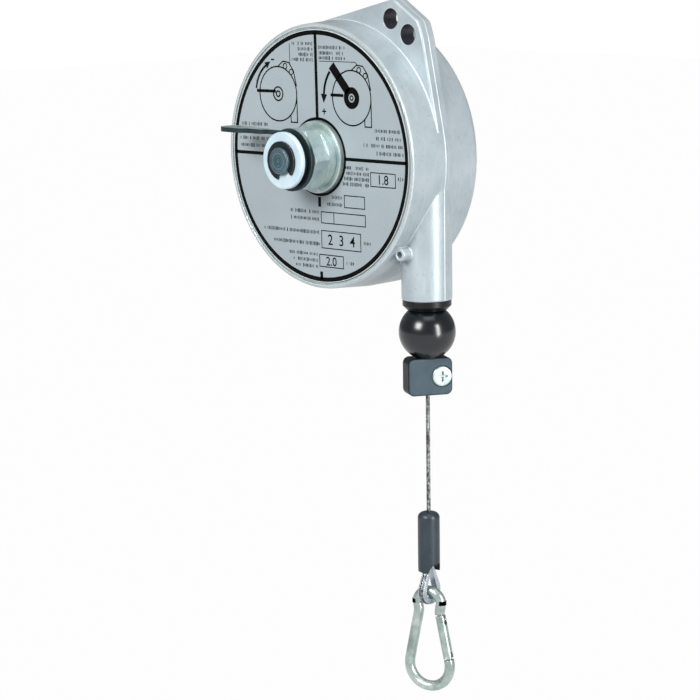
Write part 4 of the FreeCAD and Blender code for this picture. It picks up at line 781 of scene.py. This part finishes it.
def markSteps(material):
    # small upright strokes set along each row, of uneven width and height, with gaps between groups
    steps = Steps("markRow", Pitch=markRows["pitch"] * mm, Height=markRows["height"] * mm, Seed=7)
    points = steps.node("GeometryNodeCurveToPoints", {
        "Curve": steps.entry.outputs[0], "Length": steps.size("Pitch")}, mode="LENGTH")
    skip = steps.tree.nodes.new("FunctionNodeRandomValue")
    skip.data_type = "FLOAT"
    steps.tree.links.new(steps.size("Seed"), skip.inputs["Seed"])
    gaps = steps.maths("LESS_THAN", skip.outputs[1], 0.13)
    kept = steps.tree.nodes.new("GeometryNodeDeleteGeometry")
    steps.tree.links.new(points, kept.inputs["Geometry"])
    steps.tree.links.new(gaps, kept.inputs["Selection"])
    block = steps.node("GeometryNodeMeshCube", {"Size": (0.001, 0.001, 0.001)})
    spread = steps.tree.nodes.new("FunctionNodeRandomValue")
    spread.data_type = "FLOAT_VECTOR"
    spread.inputs["Min"].default_value = (0.3, 0.05, 0.55)
    spread.inputs["Max"].default_value = (0.66, 0.05, 1.0)
    steps.tree.links.new(steps.maths("ADD", steps.size("Seed"), 3.0), spread.inputs["Seed"])
    grid = steps.node("ShaderNodeCombineXYZ", {0: steps.maths("DIVIDE", steps.size("Pitch"), mm),
                                               1: 1.0, 2: steps.maths("DIVIDE", steps.size("Height"), mm)})
    scale = steps.vector("MULTIPLY", spread.outputs[0], grid)
    placed = steps.node("GeometryNodeInstanceOnPoints", {
        "Points": kept.outputs[0], "Instance": block, "Scale": scale})
    steps.close(placed, material)
    return steps


markRuns = [[at(left + markRows["indent"], markRows["depth"], height), at(right, markRows["depth"], height)]
            for left, right, height in markRows["rows"]]
labelMarks = markSteps("printInk").run("labelMarks", lineObject("markRuns", markRuns))
layAskew(labelMarks.data.vertices)
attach(labelMarks, "casing")

figures = {
    "values": (("1.8", 50.2, -12.4, 5.6), ("2  3  4", 16.6, -48.3, 6.4), ("2.0", 8.2, -60.0, 5.4)),
    "thickness": 0.03, "sizePerHeight": 1.3, "weight": 0.06,
}


def makeFigures(settings):
    # plain numbers in the boxes
    import bmesh
    joined = bmesh.new()
    for text, x, z, height in settings["values"]:
        data = bpy.data.curves.new("figure", "FONT")
        data.body = text
        data.size = height * settings["sizePerHeight"] * mm
        data.align_x = "CENTER"
        data.extrude = settings["thickness"] * mm
        data.offset = settings["weight"] * mm
        text = bpy.data.objects.new("figure", data)
        bpy.context.scene.collection.objects.link(text)
        graph = bpy.context.evaluated_depsgraph_get()
        mesh = bpy.data.meshes.new_from_object(text.evaluated_get(graph), depsgraph=graph)
        mesh.transform(Matrix.Translation(at(x, 0, z)) @ Matrix.Rotation(math.radians(90), 4, "X"))
        joined.from_mesh(mesh)
        bpy.data.objects.remove(text)
        bpy.data.meshes.remove(mesh)
    bmesh.ops.remove_doubles(joined, verts=joined.verts, dist=1e-7)
    bmesh.ops.recalc_face_normals(joined, faces=joined.faces)
    layAskew(joined.verts)
    made = bpy.data.meshes.new("labelFigures")
    joined.to_mesh(made)
    joined.free()
    return asPiece("labelFigures", made)


labelFigures = makeFigures(figures)
paint(labelFigures, "printInk")
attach(labelFigures, "casing")
print("label printed")


# ---- CAD pieces: their shape stays, each gets its finish

ownFinish = {
    "axle": "axleSteel", "end_washer": "washerSteel", "release_lever": "leverSteel",
    "stop_ball": "ballPlastic", "sleeve": "sleeveRubber", "clamp_front": "clampPlastic",
    "clamp_back": "clampPlastic",
}
for part in frame["record"]["subparts"]:
    node = frame["nodes"][part["node"]]
    paint(node, ownFinish.get(part["node"], slotMaterials[part["material_slot"]]))
    smooth(node, 30)
print("finishes given")


# ---- floor, backdrop and lights

studio = {
    "floor": -2.5, "reach": 30.0,  # metres; the floor lies below the hook with the cable paid out
    "world": 0.29,
    "key": {"turn": 5, "rise": 28, "away": 1.9, "size": (0.75, 0.75), "power": 31.0},
    "side": {"turn": 90, "rise": 10, "away": 1.5, "size": (0.3, 1.1), "power": 19.0},
    "top": {"turn": 60, "rise": 72, "away": 1.8, "size": (1.2, 1.2), "power": 7.0},
}


def paleFinish():
    # pale card that keeps the shadows, and reads white to the camera and in reflections
    finish = Finish("studioCard", Roughness=0.9, Specular_IOR_Level=0.1)
    finish.set(Base_Color=finish.mixed(finish.noise(3, 2), srgb(236, 237, 238), srgb(246, 247, 248)))
    path = finish.tree.nodes.new("ShaderNodeLightPath")
    seen = Link(finish, path.outputs["Is Camera Ray"]) + Link(finish, path.outputs["Is Glossy Ray"])
    seen = seen + Link(finish, path.outputs["Is Transmission Ray"])
    glow = finish.node("ShaderNodeEmission", inputs={"Color": (1.0, 1.0, 1.0), "Strength": 1.0})
    share = finish.node("ShaderNodeMath", {"operation": "MINIMUM"}, {0: seen, 1: 1.0}) * 0.98
    mix = finish.tree.nodes.new("ShaderNodeMixShader")
    finish.feed(mix.inputs[0], share)
    finish.tree.links.new(finish.shader.outputs[0], mix.inputs[1])
    finish.tree.links.new(glow.socket, mix.inputs[2])
    finish.tree.links.new(mix.outputs[0], finish.tree.nodes["Material Output"].inputs["Surface"])
    return finish.material


def makeStage(settings):
    card = paleFinish()
    reach, floor = settings["reach"], settings["floor"]
    mesh = bpy.data.meshes.new("floor")
    mesh.from_pydata([(-reach, -reach, floor), (reach, -reach, floor), (reach, reach, floor),
                      (-reach, reach, floor)], [], [(0, 1, 2, 3)])
    mesh.materials.append(card)
    asPiece("floor", mesh)


def makeLamp(name, settings):
    data = bpy.data.lights.new(name, "AREA")
    data.shape = "RECTANGLE"
    data.size, data.size_y = settings["size"]
    data.energy = settings["power"]
    lamp = bpy.data.objects.new(name, data)
    turn, rise = math.radians(settings["turn"]), math.radians(settings["rise"])
    middle = at(30, 24, -60)
    way = Vector((math.sin(turn) * math.cos(rise), -math.cos(turn) * math.cos(rise), math.sin(rise)))
    lamp.location = middle + way * settings["away"]
    lamp.rotation_euler = (-way).to_track_quat("-Z", "Y").to_euler()
    bpy.context.scene.collection.objects.link(lamp)


makeStage(studio)
for name in ("key", "side", "top"):
    makeLamp(name, studio[name])


def makeWorld(level):
    # soft even light that the camera itself sees as white
    world = bpy.data.worlds.new("studioWorld")
    bpy.context.scene.world = world
    world.use_nodes = True
    nodes, links = world.node_tree.nodes, world.node_tree.links
    background = nodes["Background"]
    background.inputs["Color"].default_value = (0.96, 0.98, 1.0, 1)
    background.inputs["Strength"].default_value = level
    white = nodes.new("ShaderNodeBackground")
    white.inputs["Color"].default_value = (1, 1, 1, 1)
    path = nodes.new("ShaderNodeLightPath")
    mix = nodes.new("ShaderNodeMixShader")
    links.new(path.outputs["Is Camera Ray"], mix.inputs[0])
    links.new(background.outputs[0], mix.inputs[1])
    links.new(white.outputs[0], mix.inputs[2])
    links.new(mix.outputs[0], nodes["World Output"].inputs["Surface"])


makeWorld(studio["world"])
print("studio ready")
